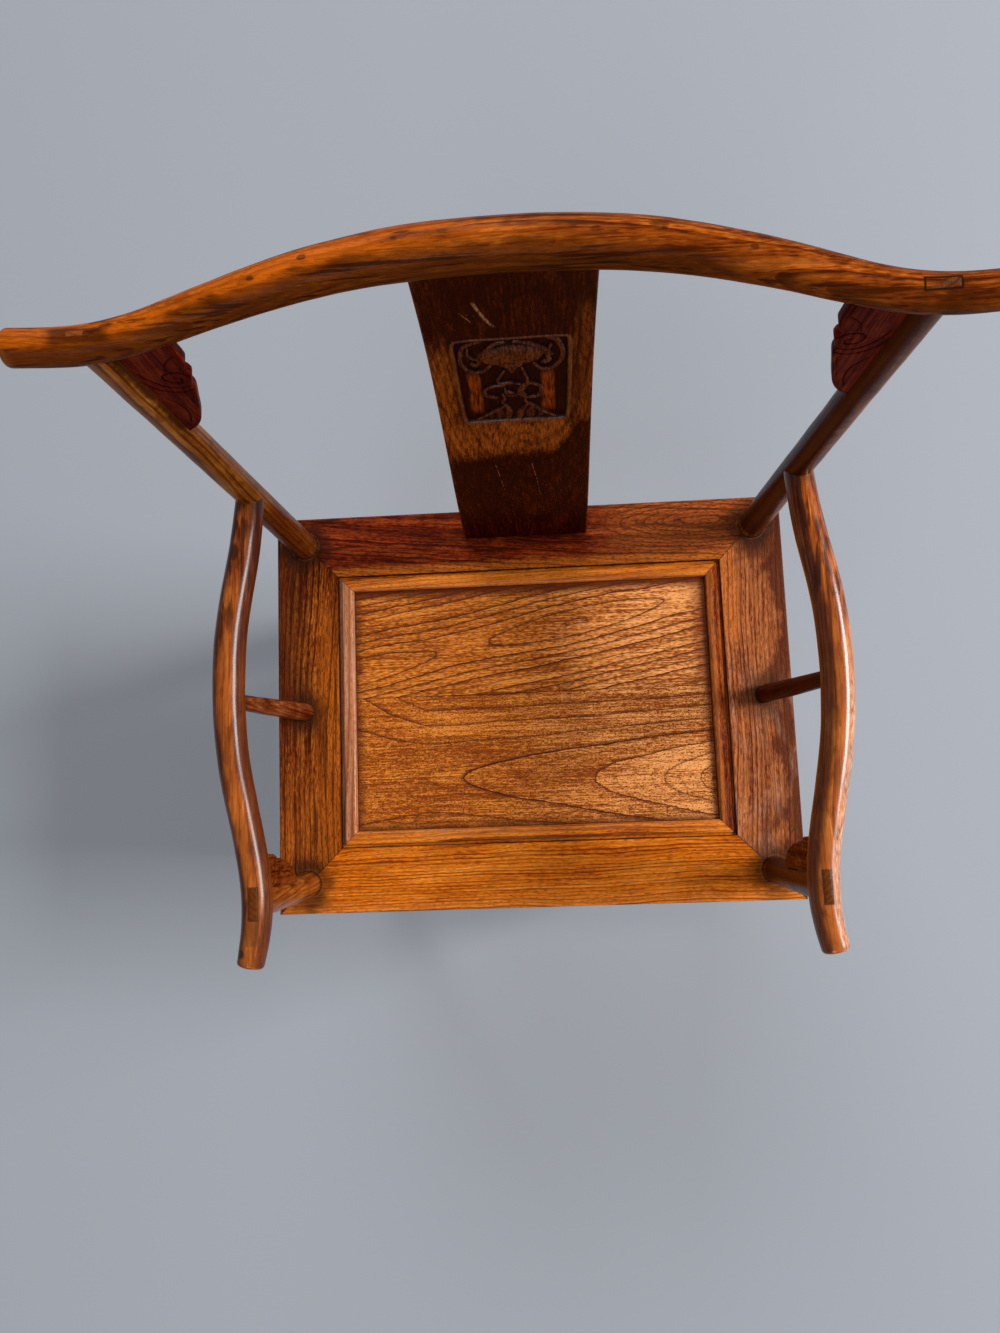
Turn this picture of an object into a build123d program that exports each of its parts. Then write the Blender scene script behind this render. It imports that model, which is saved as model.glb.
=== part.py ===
from build123d import *
import os
from math import atan2, degrees, sqrt

# Official's hat chair: an elm armchair whose crest rail and arms run out past
# their posts. Millimetres, +Z up, the sitter faces -Y, +X is to the right when
# the chair is seen from the front. The origin is on the floor, in the middle
# of the chair's box. Every piece is first made with the middle of the seat
# over the origin, and placed last.

# ---- seat frame ------------------------------------------------------------
SEAT_WIDTH = 600.0
SEAT_DEPTH = 467.0
SEAT_HEIGHT = 500.0
FRAME_THICKNESS = 30.0
FRAME_FACE = 74.0          # flat top of a frame rail, outside the bead strip
BEAD_WIDTH = 18.0          # bead strip, from the flat of the rail to the boards
BEAD_HEIGHT = 10.0
QUIRK_WIDTH = 3.2          # sunk line between the rail and the bead strip
QUIRK_DEPTH = 4.0
BEAD_ROUND = 4.5
EDGE_BAND = 19.0           # upright upper part of the rail's outer edge
EDGE_COVE = 7.0            # how far the edge steps in below that band
EDGE_HOLLOW = 4.9          # depth of the hollow, half way down the cove
ARRIS = 1.5
CORNER_TENON_WIDTH = 20.0
CORNER_TENON_THICKNESS = 10.0
CORNER_TENON_DEPTH = 8.0   # from the top of the frame down to the tenon
CORNER_TENON_INSET = 52.0  # from the rail's outer edge in to the tenon

# ---- seat boards and the battens under them --------------------------------
PANEL_SINK = 6.0
BOARD_THICKNESS = 12.0
BOARD_TONGUE = 5.0
BOARD_TONGUE_LENGTH = 7.0
BOARD_SHOULDER = 1.0       # from the underside of the boards up to their tongue
BOARD_JOINT_Y = 13.0
BATTEN_WIDTH = 30.0
BATTEN_NECK = 25.0
BATTEN_KEY = 4.0
BATTEN_OFFSET = 105.0
BATTEN_TENON = 10.0
BATTEN_TENON_WIDTH = 16.0
BATTEN_TENON_THICKNESS = 7.0
BATTEN_TENON_RISE = 2.0    # from the underside of the frame up to the tenon

# ---- legs and posts --------------------------------------------------------
LEG_INSET = 34.0           # leg axis, in from both outer edges of the seat
LEG_FLOOR_RADIUS = 16.5
LEG_SHOULDER = 2.3         # how far the top of a leg stands out past the stile's round
SPLAY_X = 5.5              # how far each foot stands out past its leg's top
SPLAY_Y = 6.0
STILE_SEAT_RADIUS = 15.2
STILE_MID_RADIUS = 13.5
STILE_TOP_RADIUS = 12.2
STILE_MID_HEIGHT = 270.0   # above the seat, as all heights in this group
STILE_LEAN_X = 6.5         # lean of the stile's top towards the middle
STILE_LEAN_Y = 7.0         # lean of the stile's top towards the sitter
POST_SEAT_RADIUS = 14.5
POST_MID_RADIUS = 13.8
POST_TOP_RADIUS = 14.5
POST_MID_HEIGHT = 110.0
POST_MID_LEAN_X = 3.0
POST_LEAN_X = 10.5
POST_MID_LEAN_Y = 2.0
POST_LEAN_Y = 8.0
SIDE_POST_SEAT_RADIUS = 10.2
SIDE_POST_TOP_RADIUS = 7.6
SIDE_POST_Y = -1.0
SIDE_POST_INSET = 33.0
SIDE_POST_LEAN = 12.0
SIDE_POST_MID_LEAN = 4.0
SIDE_POST_LEAN_Y = 4.0     # lean of the top towards the sitter
SIDE_POST_TENON = 14.0     # round foot tenon: length and radius
SIDE_POST_TENON_RADIUS = 7.1
SIDE_POST_PEG = 24.0       # round top tenon, from inside the post to the arm's axis
SIDE_POST_PEG_RADIUS = 5.3

# ---- crest rail ------------------------------------------------------------
CREST_HEIGHT = 538.0       # crest axis at the stiles, above the seat
CREST_RISE = 20.0
CREST_BACK = 37.0
CREST_OVERHANG = 54.5
CREST_TIP_RISE = 3.0
CREST_TIP_FORWARD = 1.0
CREST_MID_RADIUS = 16.0
CREST_QUARTER_RADIUS = 15.0
CREST_HAUNCH_RADIUS = 13.0
CREST_END_RADIUS = 12.2
CREST_QUARTER = 0.38       # where the sections lie, from the middle to a stile
CREST_HAUNCH = 0.72
CREST_QUARTER_BACK = 0.85  # share of the bow that is left at each section
CREST_HAUNCH_BACK = 0.37
CREST_QUARTER_RISE = 0.84
CREST_HAUNCH_RISE = 0.41
TIP_ROUND = 4.0
CREST_TENON_WIDTH = 21.0
CREST_TENON_THICKNESS = 6.5

# ---- arms ------------------------------------------------------------------
ARM_REAR_HEIGHT = 215.0    # arm axis above the seat
ARM_FRONT_HEIGHT = 223.0
ARM_REAR_RADIUS = 13.2
ARM_FRONT_RADIUS = 14.0
ARM_TIP_RADIUS = 12.3
# sections from the front post to the stile: share of the way, how far the arm
# stands out past the straight line between the two, and radius
ARM_BOW = ((0.16, 7.7, 14.3), (0.34, 20.3, 14.7), (0.52, 23.9, 15.0), (0.70, 18.0, 15.0), (0.85, 7.0, 14.6))
ARM_OVERHANG = 57.0        # arm tip, forward of the front post's top
ARM_TIP_FLARE = 6.5        # outward turn of the tip, past the front post's top
ARM_NECK_OVERHANG = 33.0   # section between the front post and the tip
ARM_NECK_FLARE = 2.0
ARM_NECK_RADIUS = 13.3
ARM_TIP_RISE = 1.0
ARM_TENON_WIDTH = 8.0
ARM_TENON_LENGTH = 29.0
ARM_REAR_TENON_WIDTH = 9.0
ARM_REAR_TENON_HEIGHT = 15.0
ARM_REAR_TENON_LENGTH = 12.0

# ---- back splat ------------------------------------------------------------
SPLAT_BOTTOM_WIDTH = 145.0
SPLAT_TOP_WIDTH = 121.0
SPLAT_THICKNESS = 11.0
SPLAT_TONGUE = 6.0
SPLAT_TONGUE_LENGTH = 12.0
SPLAT_TONGUE_ROOT = 8.0    # how far a tongue's slab runs back into the splat
SPLAT_CREST_TONGUE_LENGTH = 7.0
SPLAT_BOW = ((0.0, 0.0), (4.5, 100.0), (14.0, 200.0), (26.5, 320.0),
             (32.0, 430.0), (28.0, 520.0), (24.5, 570.0))
MEDALLION_WIDTH = 84.0
MEDALLION_BOTTOM = 301.0
MEDALLION_TOP = 431.0
MEDALLION_SINK = 2.5

# ---- carved spandrels under the crest and behind the front posts -----------
SPANDREL_THICKNESS = 9.0
SPANDREL_TONGUE = 4.0
SPANDREL_TONGUE_DEPTH = 4.0
SPANDREL_LAP = 0.5         # how far a tongue runs back into its spandrel
ARM_SPANDREL_OUT = 1.0     # arm spandrel, outside the axis of its post
# outline, measured from the corner of post axis and rail axis: along, down
CREST_SPANDREL = ((50.0, 0.0), (49.5, 26.0), (45.0, 38.0), (46.0, 45.0),
                  (42.0, 59.0), (39.0, 69.0), (27.5, 113.0), (14.0, 133.0))
ARM_SPANDREL = ((41.0, 0.0), (40.0, 45.0), (34.0, 58.0), (33.0, 66.0),
                (29.0, 90.0), (19.0, 112.0), (10.0, 122.0))

# ---- stretchers between the legs -------------------------------------------
FOOTREST_TOP = 84.0
FOOTREST_THICKNESS = 22.0
FOOTREST_DEPTH = 32.0
FOOTREST_ROUND = 4.0
FOOTREST_TENON_HEIGHT = 10.0
SIDE_STRETCHER_HEIGHT = 120.0
REAR_STRETCHER_HEIGHT = 160.0
STRETCHER_HEIGHT = 28.0
STRETCHER_DEPTH = 22.0
STRETCHER_ROUND = 9.0
STRETCHER_TENON_HEIGHT = 16.0
STRETCHER_TENON_THICKNESS = 8.0

# ---- aprons under the seat -------------------------------------------------
APRON_THICKNESS = 13.0
APRON_HEAD = 52.0
APRON_SIDE = 44.0          # width of an upright apron at its top, from the leg axis
APRON_SIDE_FOOT = 36.0     # and at its foot
APRON_TONGUE = 5.0
APRON_TONGUE_DEPTH = 5.0
APRON_CUSP = 12.0
# cusp at each end of an apron head, in cusp sizes: along, up
CUSP_STEPS = ((0.2, 0.35), (1.2, 0.45), (1.5, 0.9), (2.9, 1.0))
APRON_SHOULDER_DROP = 14.0  # upright apron: end of its shoulder, below the head
APRON_WAIST_DROP = 29.0     # and end of its slope
APRON_LAP = 8.0            # how far apron outlines run on past the leg axis
GROOVE_RUNOUT = 1.0
REAR_APRON_HEAD = 40.0
REAR_APRON_CUSP = 7.0
FOOT_APRON_HEAD = 26.0
FOOT_APRON_SLOPE = 16.0     # end of the footrest apron's lower edge: slope and rise
FOOT_APRON_RISE = 10.0

# ---- fits ------------------------------------------------------------------
ROUND_FIT = 0.15           # gap round every socket and cope
TENON_ROOT = 6.0           # how far a tenon's block runs back into its own piece
BOARD_FIT = 0.3            # gap round the boards' face
GROOVE_ROOM = 1.0          # room past the tongue, for boards that swell

LEG_TOP_RADIUS = STILE_SEAT_RADIUS + LEG_SHOULDER
LEG_X = SEAT_WIDTH / 2 - LEG_INSET
LEG_Y = SEAT_DEPTH / 2 - LEG_INSET
FRAME_UNDERSIDE = SEAT_HEIGHT - FRAME_THICKNESS
RAIL_WIDTH = FRAME_FACE + BEAD_WIDTH
CREST_Z = SEAT_HEIGHT + CREST_HEIGHT
CREST_END_X = LEG_X - STILE_LEAN_X
CREST_END_Y = LEG_Y - STILE_LEAN_Y
ARM_REAR_Z = SEAT_HEIGHT + ARM_REAR_HEIGHT
ARM_FRONT_Z = SEAT_HEIGHT + ARM_FRONT_HEIGHT
ARM_REAR_X = LEG_X - STILE_LEAN_X * ARM_REAR_HEIGHT / CREST_HEIGHT
ARM_REAR_Y = LEG_Y - STILE_LEAN_Y * ARM_REAR_HEIGHT / CREST_HEIGHT
POST_TOP_X = LEG_X - POST_LEAN_X
POST_TOP_Y = -LEG_Y + POST_LEAN_Y
FOOTREST_Z = FOOTREST_TOP - FOOTREST_THICKNESS / 2
PANEL_TOP = SEAT_HEIGHT - PANEL_SINK
SPLAT_FOOT_Y = LEG_Y


def box(low, high):
    """Block between two opposite corners."""
    middle = [(a + b) / 2 for a, b in zip(low, high)]
    sides = [b - a for a, b in zip(low, high)]
    return Pos(*middle) * Box(*sides)


def block(middle, sides):
    """Block of three sides about its middle."""
    return Pos(*middle) * Box(*sides)


def round_bar(stations, side, grow=0.0):
    """Bar of round section through stations of x, y, z and radius."""
    points = [Vector(x, y, z) for x, y, z, radius in stations]
    axis = Spline(*points)
    discs = []
    for point, station in zip(points, stations):
        plane = Plane(origin=point, x_dir=side, z_dir=axis.tangent_at(point))
        discs.append(plane * Circle(station[3] + grow))
    return loft(discs)


def cone(foot, top, foot_radius, top_radius):
    """Straight taper between two level discs."""
    low = Plane(origin=foot) * Circle(foot_radius)
    high = Plane(origin=top) * Circle(top_radius)
    return loft([low, high], ruled=True)


def cope(piece, tenon, host):
    """Shape a piece to the round of its host and leave its tenon standing."""
    return (piece + tenon) - (host - tenon)


def mirrored(piece):
    """The same piece on the chair's other side."""
    return mirror(piece, about=Plane.YZ)


# ---- envelopes: the round outsides that other pieces are fitted to ---------
def crest_envelope(grow=0.0):
    """Crest rail before its mortises, bowed back and highest in the middle."""
    tip = (CREST_END_X + CREST_OVERHANG, CREST_END_Y - CREST_TIP_FORWARD,
           CREST_Z + CREST_TIP_RISE, CREST_END_RADIUS)
    joint = (CREST_END_X, CREST_END_Y, CREST_Z, CREST_END_RADIUS)
    haunch = (CREST_HAUNCH * CREST_END_X, CREST_END_Y + CREST_HAUNCH_BACK * CREST_BACK,
              CREST_Z + CREST_HAUNCH_RISE * CREST_RISE, CREST_HAUNCH_RADIUS)
    quarter = (CREST_QUARTER * CREST_END_X, CREST_END_Y + CREST_QUARTER_BACK * CREST_BACK,
               CREST_Z + CREST_QUARTER_RISE * CREST_RISE, CREST_QUARTER_RADIUS)
    middle = (0.0, CREST_END_Y + CREST_BACK, CREST_Z + CREST_RISE, CREST_MID_RADIUS)
    right = [quarter, haunch, joint, tip]
    left = [(-x, y, z, radius) for x, y, z, radius in reversed(right)]
    return round_bar(left + [middle] + right, (0, 1, 0), grow)


def arm_envelope(grow=0.0):
    """Right arm before its mortises, from inside the stile to its free tip."""
    tip = (POST_TOP_X + ARM_TIP_FLARE, POST_TOP_Y - ARM_OVERHANG, ARM_FRONT_Z + ARM_TIP_RISE, ARM_TIP_RADIUS)
    neck = (POST_TOP_X + ARM_NECK_FLARE, POST_TOP_Y - ARM_NECK_OVERHANG,
            ARM_FRONT_Z + ARM_TIP_RISE / 2, ARM_NECK_RADIUS)
    stations = [tip, neck, (POST_TOP_X, POST_TOP_Y, ARM_FRONT_Z, ARM_FRONT_RADIUS)]
    for share, out, radius in ARM_BOW:
        x = POST_TOP_X + share * (ARM_REAR_X - POST_TOP_X) + out
        y = POST_TOP_Y + share * (ARM_REAR_Y - POST_TOP_Y)
        z = ARM_FRONT_Z + share * (ARM_REAR_Z - ARM_FRONT_Z)
        stations.append((x, y, z, radius))
    stations.append((ARM_REAR_X, ARM_REAR_Y, ARM_REAR_Z, ARM_REAR_RADIUS))
    return round_bar(stations, (1, 0, 0), grow)


def stile_envelope(grow=0.0):
    """Right rear stile, from inside the leg's shoulder up to the crest axis."""
    share = STILE_MID_HEIGHT / CREST_HEIGHT
    stations = [
        (LEG_X, LEG_Y, FRAME_UNDERSIDE - TENON_ROOT, STILE_SEAT_RADIUS),
        (LEG_X, LEG_Y, SEAT_HEIGHT, STILE_SEAT_RADIUS),
        (LEG_X - share * STILE_LEAN_X, LEG_Y - share * STILE_LEAN_Y,
         SEAT_HEIGHT + STILE_MID_HEIGHT, STILE_MID_RADIUS),
        (CREST_END_X, CREST_END_Y, CREST_Z, STILE_TOP_RADIUS),
    ]
    return round_bar(stations, (1, 0, 0), grow)


def post_envelope(grow=0.0):
    """Right front post, from inside the leg's shoulder up to the arm axis."""
    stations = [
        (LEG_X, -LEG_Y, FRAME_UNDERSIDE - TENON_ROOT, POST_SEAT_RADIUS),
        (LEG_X, -LEG_Y, SEAT_HEIGHT, POST_SEAT_RADIUS),
        (LEG_X - POST_MID_LEAN_X, -LEG_Y + POST_MID_LEAN_Y, SEAT_HEIGHT + POST_MID_HEIGHT, POST_MID_RADIUS),
        (POST_TOP_X, POST_TOP_Y, ARM_FRONT_Z, POST_TOP_RADIUS),
    ]
    return round_bar(stations, (1, 0, 0), grow)


def leg_envelope(side, grow=0.0):
    """Right leg below the seat; side is 1 at the back and -1 at the front."""
    foot = (LEG_X + SPLAY_X, side * (LEG_Y + SPLAY_Y), 0)
    top = (LEG_X, side * LEG_Y, FRAME_UNDERSIDE)
    return cone(foot, top, LEG_FLOOR_RADIUS + grow, LEG_TOP_RADIUS + grow)


def leg_axis(height, side):
    """Point of a right leg's axis at a height under the seat."""
    share = 1 - height / FRAME_UNDERSIDE
    return LEG_X + share * SPLAY_X, side * (LEG_Y + share * SPLAY_Y)


# ---- mortise and tenon shapes shared by both halves of a joint --------------
def upright(x, y, bottom, top, width, depth):
    """Upright block on an axis, between two heights."""
    return block((x, y, (bottom + top) / 2), (width, depth, top - bottom))


def crest_mortise():
    """Block through the crest rail, from the shoulder of the right stile up past the rail."""
    reach = CREST_END_RADIUS + TENON_ROOT
    return upright(CREST_END_X, CREST_END_Y, CREST_Z - reach, CREST_Z + reach,
                   CREST_TENON_WIDTH, CREST_TENON_THICKNESS)


def crest_tenon():
    """Through tenon of the right stile, dressed flush with the top of the crest rail."""
    root = upright(CREST_END_X, CREST_END_Y, CREST_Z - CREST_END_RADIUS - TENON_ROOT, CREST_Z,
                   CREST_TENON_WIDTH, CREST_TENON_THICKNESS)
    return root + (crest_mortise() & crest_envelope())


def arm_mortise():
    """Block through the right arm, from the shoulder of its front post up past the arm."""
    reach = ARM_FRONT_RADIUS + TENON_ROOT
    return upright(POST_TOP_X, POST_TOP_Y, ARM_FRONT_Z - reach, ARM_FRONT_Z + reach,
                   ARM_TENON_WIDTH, ARM_TENON_LENGTH)


def arm_tenon():
    """Through tenon of the right front post, dressed flush with the top of the arm."""
    root = upright(POST_TOP_X, POST_TOP_Y, ARM_FRONT_Z - ARM_FRONT_RADIUS - TENON_ROOT, ARM_FRONT_Z,
                   ARM_TENON_WIDTH, ARM_TENON_LENGTH)
    return root + (arm_mortise() & arm_envelope())


def arm_rear_tenon():
    """Blind tenon of the right arm in the front of its stile."""
    face = ARM_REAR_Y - STILE_MID_RADIUS
    back = face + ARM_REAR_TENON_LENGTH
    front = face - TENON_ROOT
    return block((ARM_REAR_X, (back + front) / 2, ARM_REAR_Z),
                 (ARM_REAR_TENON_WIDTH, back - front, ARM_REAR_TENON_HEIGHT))


def corner_tenons():
    """Through tenons at both ends of the front frame rail."""
    near = -SEAT_DEPTH / 2 + CORNER_TENON_INSET
    top = SEAT_HEIGHT - CORNER_TENON_DEPTH
    root = SEAT_WIDTH / 2 - CORNER_TENON_INSET - CORNER_TENON_WIDTH - TENON_ROOT
    right = box((root, near, top - CORNER_TENON_THICKNESS),
                (SEAT_WIDTH / 2, near + CORNER_TENON_WIDTH, top))
    return right, mirrored(right)


def batten_tenons():
    """Tenons of the right batten in the front and rear rails."""
    reach = SEAT_DEPTH / 2 - RAIL_WIDTH + BATTEN_TENON
    return block((BATTEN_OFFSET, 0, FRAME_UNDERSIDE + BATTEN_TENON_RISE + BATTEN_TENON_THICKNESS / 2),
                 (BATTEN_TENON_WIDTH, 2 * reach, BATTEN_TENON_THICKNESS))


def splat_slab(front, back):
    """Bent sheet across the chair, between two depths behind the splat's face."""
    face_line = [(0, SPLAT_FOOT_Y + y, SEAT_HEIGHT + z) for y, z in SPLAT_BOW]
    foot = (0, SPLAT_FOOT_Y, SEAT_HEIGHT - SPLAT_TONGUE_LENGTH)
    front_line = Pos(0, front, 0) * (Line(foot, face_line[0]) + Spline(*face_line))
    back_line = Pos(0, back, 0) * (Line(foot, face_line[0]) + Spline(*face_line))
    bottom = Line((0, foot[1] + front, foot[2]), (0, foot[1] + back, foot[2]))
    head = face_line[-1]
    top = Line((0, head[1] + front, head[2]), (0, head[1] + back, head[2]))
    profile = make_face(front_line + back_line + bottom + top)
    return extrude(profile, amount=SPLAT_BOTTOM_WIDTH / 2, both=True, dir=(1, 0, 0))


def splat_outline(bottom, top):
    """Block of the splat's tapering front outline between two heights above the seat."""
    slope = (SPLAT_TOP_WIDTH - SPLAT_BOTTOM_WIDTH) / CREST_HEIGHT / 2
    low = SPLAT_BOTTOM_WIDTH / 2 + slope * bottom
    high = SPLAT_BOTTOM_WIDTH / 2 + slope * top
    corners = [(-low, bottom), (low, bottom), (high, top), (-high, top)]
    points = [(x, 0, SEAT_HEIGHT + z) for x, z in corners]
    outline = make_face(Polyline(*points, close=True))
    return extrude(outline, amount=SEAT_DEPTH, dir=(0, 1, 0))


def splat_foot_tongue():
    """Tongue of the splat in the rear seat rail."""
    inset = (SPLAT_THICKNESS - SPLAT_TONGUE) / 2
    slab = splat_slab(inset, inset + SPLAT_TONGUE)
    return slab & splat_outline(-SPLAT_TONGUE_LENGTH, SPLAT_TONGUE_ROOT)


def splat_head_tongue():
    """Tongue of the splat in the underside of the crest rail."""
    inset = (SPLAT_THICKNESS - SPLAT_TONGUE) / 2
    slab = splat_slab(inset, inset + SPLAT_TONGUE)
    under = CREST_HEIGHT + CREST_RISE - CREST_MID_RADIUS
    return slab & splat_outline(under - SPLAT_TONGUE_ROOT, under + SPLAT_CREST_TONGUE_LENGTH)


# ---- seat frame ------------------------------------------------------------
def mitred(section, length, offset):
    """Length of moulding along the front edge, mitred at both ends."""
    bar = extrude(section, amount=length / 2, both=True, dir=(1, 0, 0))
    right = Plane(origin=(length / 2, -offset, 0), z_dir=(1, 1, 0))
    left = Plane(origin=(-length / 2, -offset, 0), z_dir=(-1, 1, 0))
    bar = split(bar, bisect_by=right, keep=Keep.BOTTOM)
    return split(bar, bisect_by=left, keep=Keep.BOTTOM)


def rail_section(offset):
    """Section of a frame rail: moulded edge, bead seat and board groove."""
    groove_top = PANEL_SINK + BOARD_THICKNESS - BOARD_SHOULDER - BOARD_TONGUE
    groove_bottom = groove_top + BOARD_TONGUE
    inner = RAIL_WIDTH
    groove = RAIL_WIDTH - BOARD_TONGUE_LENGTH - GROOVE_ROOM
    below = FRAME_THICKNESS
    corners = [(0, ARRIS), (ARRIS, 0), (FRAME_FACE, 0), (FRAME_FACE, BEAD_HEIGHT),
               (inner, BEAD_HEIGHT), (inner, groove_top), (groove, groove_top),
               (groove, groove_bottom), (inner, groove_bottom), (inner, below),
               (EDGE_COVE, below)]
    points = [(0, -offset + u, SEAT_HEIGHT - z) for u, z in corners]
    lip = (0, -offset + ARRIS, SEAT_HEIGHT - EDGE_BAND)
    nose = (0, -offset, SEAT_HEIGHT - EDGE_BAND)
    hollow = (0, -offset + EDGE_HOLLOW, SEAT_HEIGHT - (EDGE_BAND + below) / 2)
    outline = Polyline(*points) + ThreePointArc(points[-1], hollow, lip)
    outline += Polyline(lip, nose, points[0])
    return make_face(outline)


def bead_section(offset):
    """Section of a bead strip: a sunk quirk outside and a rounded top."""
    outer = -offset + FRAME_FACE
    inner = outer + BEAD_WIDTH
    shoulder = outer + QUIRK_WIDTH
    top = SEAT_HEIGHT
    bottom = SEAT_HEIGHT - BEAD_HEIGHT
    points = [(0, outer, bottom), (0, outer, top - QUIRK_DEPTH), (0, shoulder, top - QUIRK_DEPTH),
              (0, shoulder, top - ARRIS), (0, shoulder + ARRIS, top), (0, inner - BEAD_ROUND, top)]
    drop = (1 - sqrt(0.5)) * BEAD_ROUND
    bend = (0, inner - drop, top - drop)
    edge = (0, inner, top - BEAD_ROUND)
    outline = Polyline(*points) + ThreePointArc(points[-1], bend, edge)
    outline += Polyline(edge, (0, inner, bottom), points[0])
    return make_face(outline)


def leg_holes():
    """Round holes through the frame for the four legs."""
    holes = []
    for side, radius in ((1, STILE_SEAT_RADIUS), (-1, POST_SEAT_RADIUS)):
        hole = Pos(LEG_X, side * LEG_Y, SEAT_HEIGHT) * Cylinder(radius + ROUND_FIT, 4 * FRAME_THICKNESS)
        holes += [hole, mirrored(hole)]
    return holes


def side_post_socket():
    """Blind hole in the right frame rail for the side post's foot."""
    axis = (SEAT_WIDTH / 2 - SIDE_POST_INSET, SIDE_POST_Y, SEAT_HEIGHT)
    depth = SIDE_POST_TENON + ROUND_FIT
    return Pos(*axis) * Cylinder(SIDE_POST_TENON_RADIUS + ROUND_FIT, 2 * depth)


def frame_rails():
    """Front, rear, left and right rails of the seat, joined at mitres."""
    long_rail = mitred(rail_section(SEAT_DEPTH / 2), SEAT_WIDTH, SEAT_DEPTH / 2)
    short_rail = mitred(rail_section(SEAT_WIDTH / 2), SEAT_DEPTH, SEAT_WIDTH / 2)
    right_tenon, left_tenon = corner_tenons()
    front = long_rail + right_tenon + left_tenon
    rear = Rot(Z=180) * front
    right = Rot(Z=90) * short_rail
    for tenon in (right_tenon, Rot(Z=180) * left_tenon):
        right -= tenon
    for hole in leg_holes():
        front -= hole
        rear -= hole
        right -= hole
    left = mirrored(right - side_post_socket())
    right -= side_post_socket()
    for tenon in (batten_tenons(), mirrored(batten_tenons())):
        front -= tenon
        rear -= tenon
    rear -= splat_foot_tongue()
    return {"front_frame_rail": front, "rear_frame_rail": rear,
            "left_frame_rail": left, "right_frame_rail": right}


def bead_strips():
    """Four mitred strips that line the frame around the boards."""
    long_strip = mitred(bead_section(SEAT_DEPTH / 2), SEAT_WIDTH, SEAT_DEPTH / 2)
    short_strip = mitred(bead_section(SEAT_WIDTH / 2), SEAT_DEPTH, SEAT_WIDTH / 2)
    return {"front_bead_strip": long_strip, "rear_bead_strip": Rot(Z=180) * long_strip,
            "right_bead_strip": Rot(Z=90) * short_strip, "left_bead_strip": Rot(Z=-90) * short_strip}


def batten(x):
    """Dovetailed batten across the underside of the boards."""
    board_bottom = PANEL_TOP - BOARD_THICKNESS
    reach = SEAT_DEPTH / 2 - RAIL_WIDTH
    wide = BATTEN_WIDTH / 2
    neck = BATTEN_NECK / 2
    corners = [(-wide, board_bottom + BATTEN_KEY), (wide, board_bottom + BATTEN_KEY), (neck, board_bottom),
               (wide, board_bottom), (wide, FRAME_UNDERSIDE), (-wide, FRAME_UNDERSIDE),
               (-wide, board_bottom), (-neck, board_bottom)]
    section = make_face(Polyline(*[(x + u, 0, z) for u, z in corners], close=True))
    return extrude(section, amount=reach, both=True, dir=(0, 1, 0))


def seat_boards():
    """Two boards glued edge to edge, with a tongue on their outer edges."""
    half_x = SEAT_WIDTH / 2 - RAIL_WIDTH - BOARD_FIT
    half_y = SEAT_DEPTH / 2 - RAIL_WIDTH - BOARD_FIT
    bottom = PANEL_TOP - BOARD_THICKNESS
    tongue_bottom = bottom + BOARD_SHOULDER
    body = box((-half_x, -half_y, bottom), (half_x, half_y, PANEL_TOP))
    reach_x = half_x + BOARD_TONGUE_LENGTH
    reach_y = half_y + BOARD_TONGUE_LENGTH
    body += box((-reach_x, -reach_y, tongue_bottom), (reach_x, reach_y, tongue_bottom + BOARD_TONGUE))
    body -= batten(BATTEN_OFFSET)
    body -= batten(-BATTEN_OFFSET)
    joint = Plane(origin=(0, BOARD_JOINT_Y, 0), z_dir=(0, 1, 0))
    return {"rear_seat_board": split(body, bisect_by=joint, keep=Keep.TOP),
            "front_seat_board": split(body, bisect_by=joint, keep=Keep.BOTTOM)}


def battens():
    """Battens with their tenons, left and right."""
    right = batten(BATTEN_OFFSET) + batten_tenons()
    return {"right_batten": right, "left_batten": mirrored(right)}


# ---- stretchers ------------------------------------------------------------
def long_tenon(height, side, thickness, tall):
    """Bar through both legs' inner halves, for stretchers that run along X."""
    x, y = leg_axis(height, side)
    return block((0, y, height), (2 * x, thickness, tall))


def side_tenon():
    """Bar through both right legs' inner halves, for the side stretcher."""
    x, rear_y = leg_axis(SIDE_STRETCHER_HEIGHT, 1)
    return block((x, 0, SIDE_STRETCHER_HEIGHT),
                 (STRETCHER_TENON_THICKNESS, 2 * rear_y, STRETCHER_TENON_HEIGHT))


def footrest_tenon():
    """Tenon bar of the footrest."""
    return long_tenon(FOOTREST_Z, -1, FOOTREST_DEPTH / 2, FOOTREST_TENON_HEIGHT)


def rear_tenon():
    """Tenon bar of the rear stretcher."""
    return long_tenon(REAR_STRETCHER_HEIGHT, 1, STRETCHER_TENON_THICKNESS, STRETCHER_TENON_HEIGHT)


def legs_pair(side):
    """Both legs at the front or at the back, with room round them."""
    right = leg_envelope(side, ROUND_FIT)
    return right + mirrored(right)


def legs_pair_core(side):
    """The wood of both legs that the apron tongues don't reach."""
    core = leg_envelope(side, ROUND_FIT - APRON_TONGUE_DEPTH)
    return core + mirrored(core)


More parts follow.
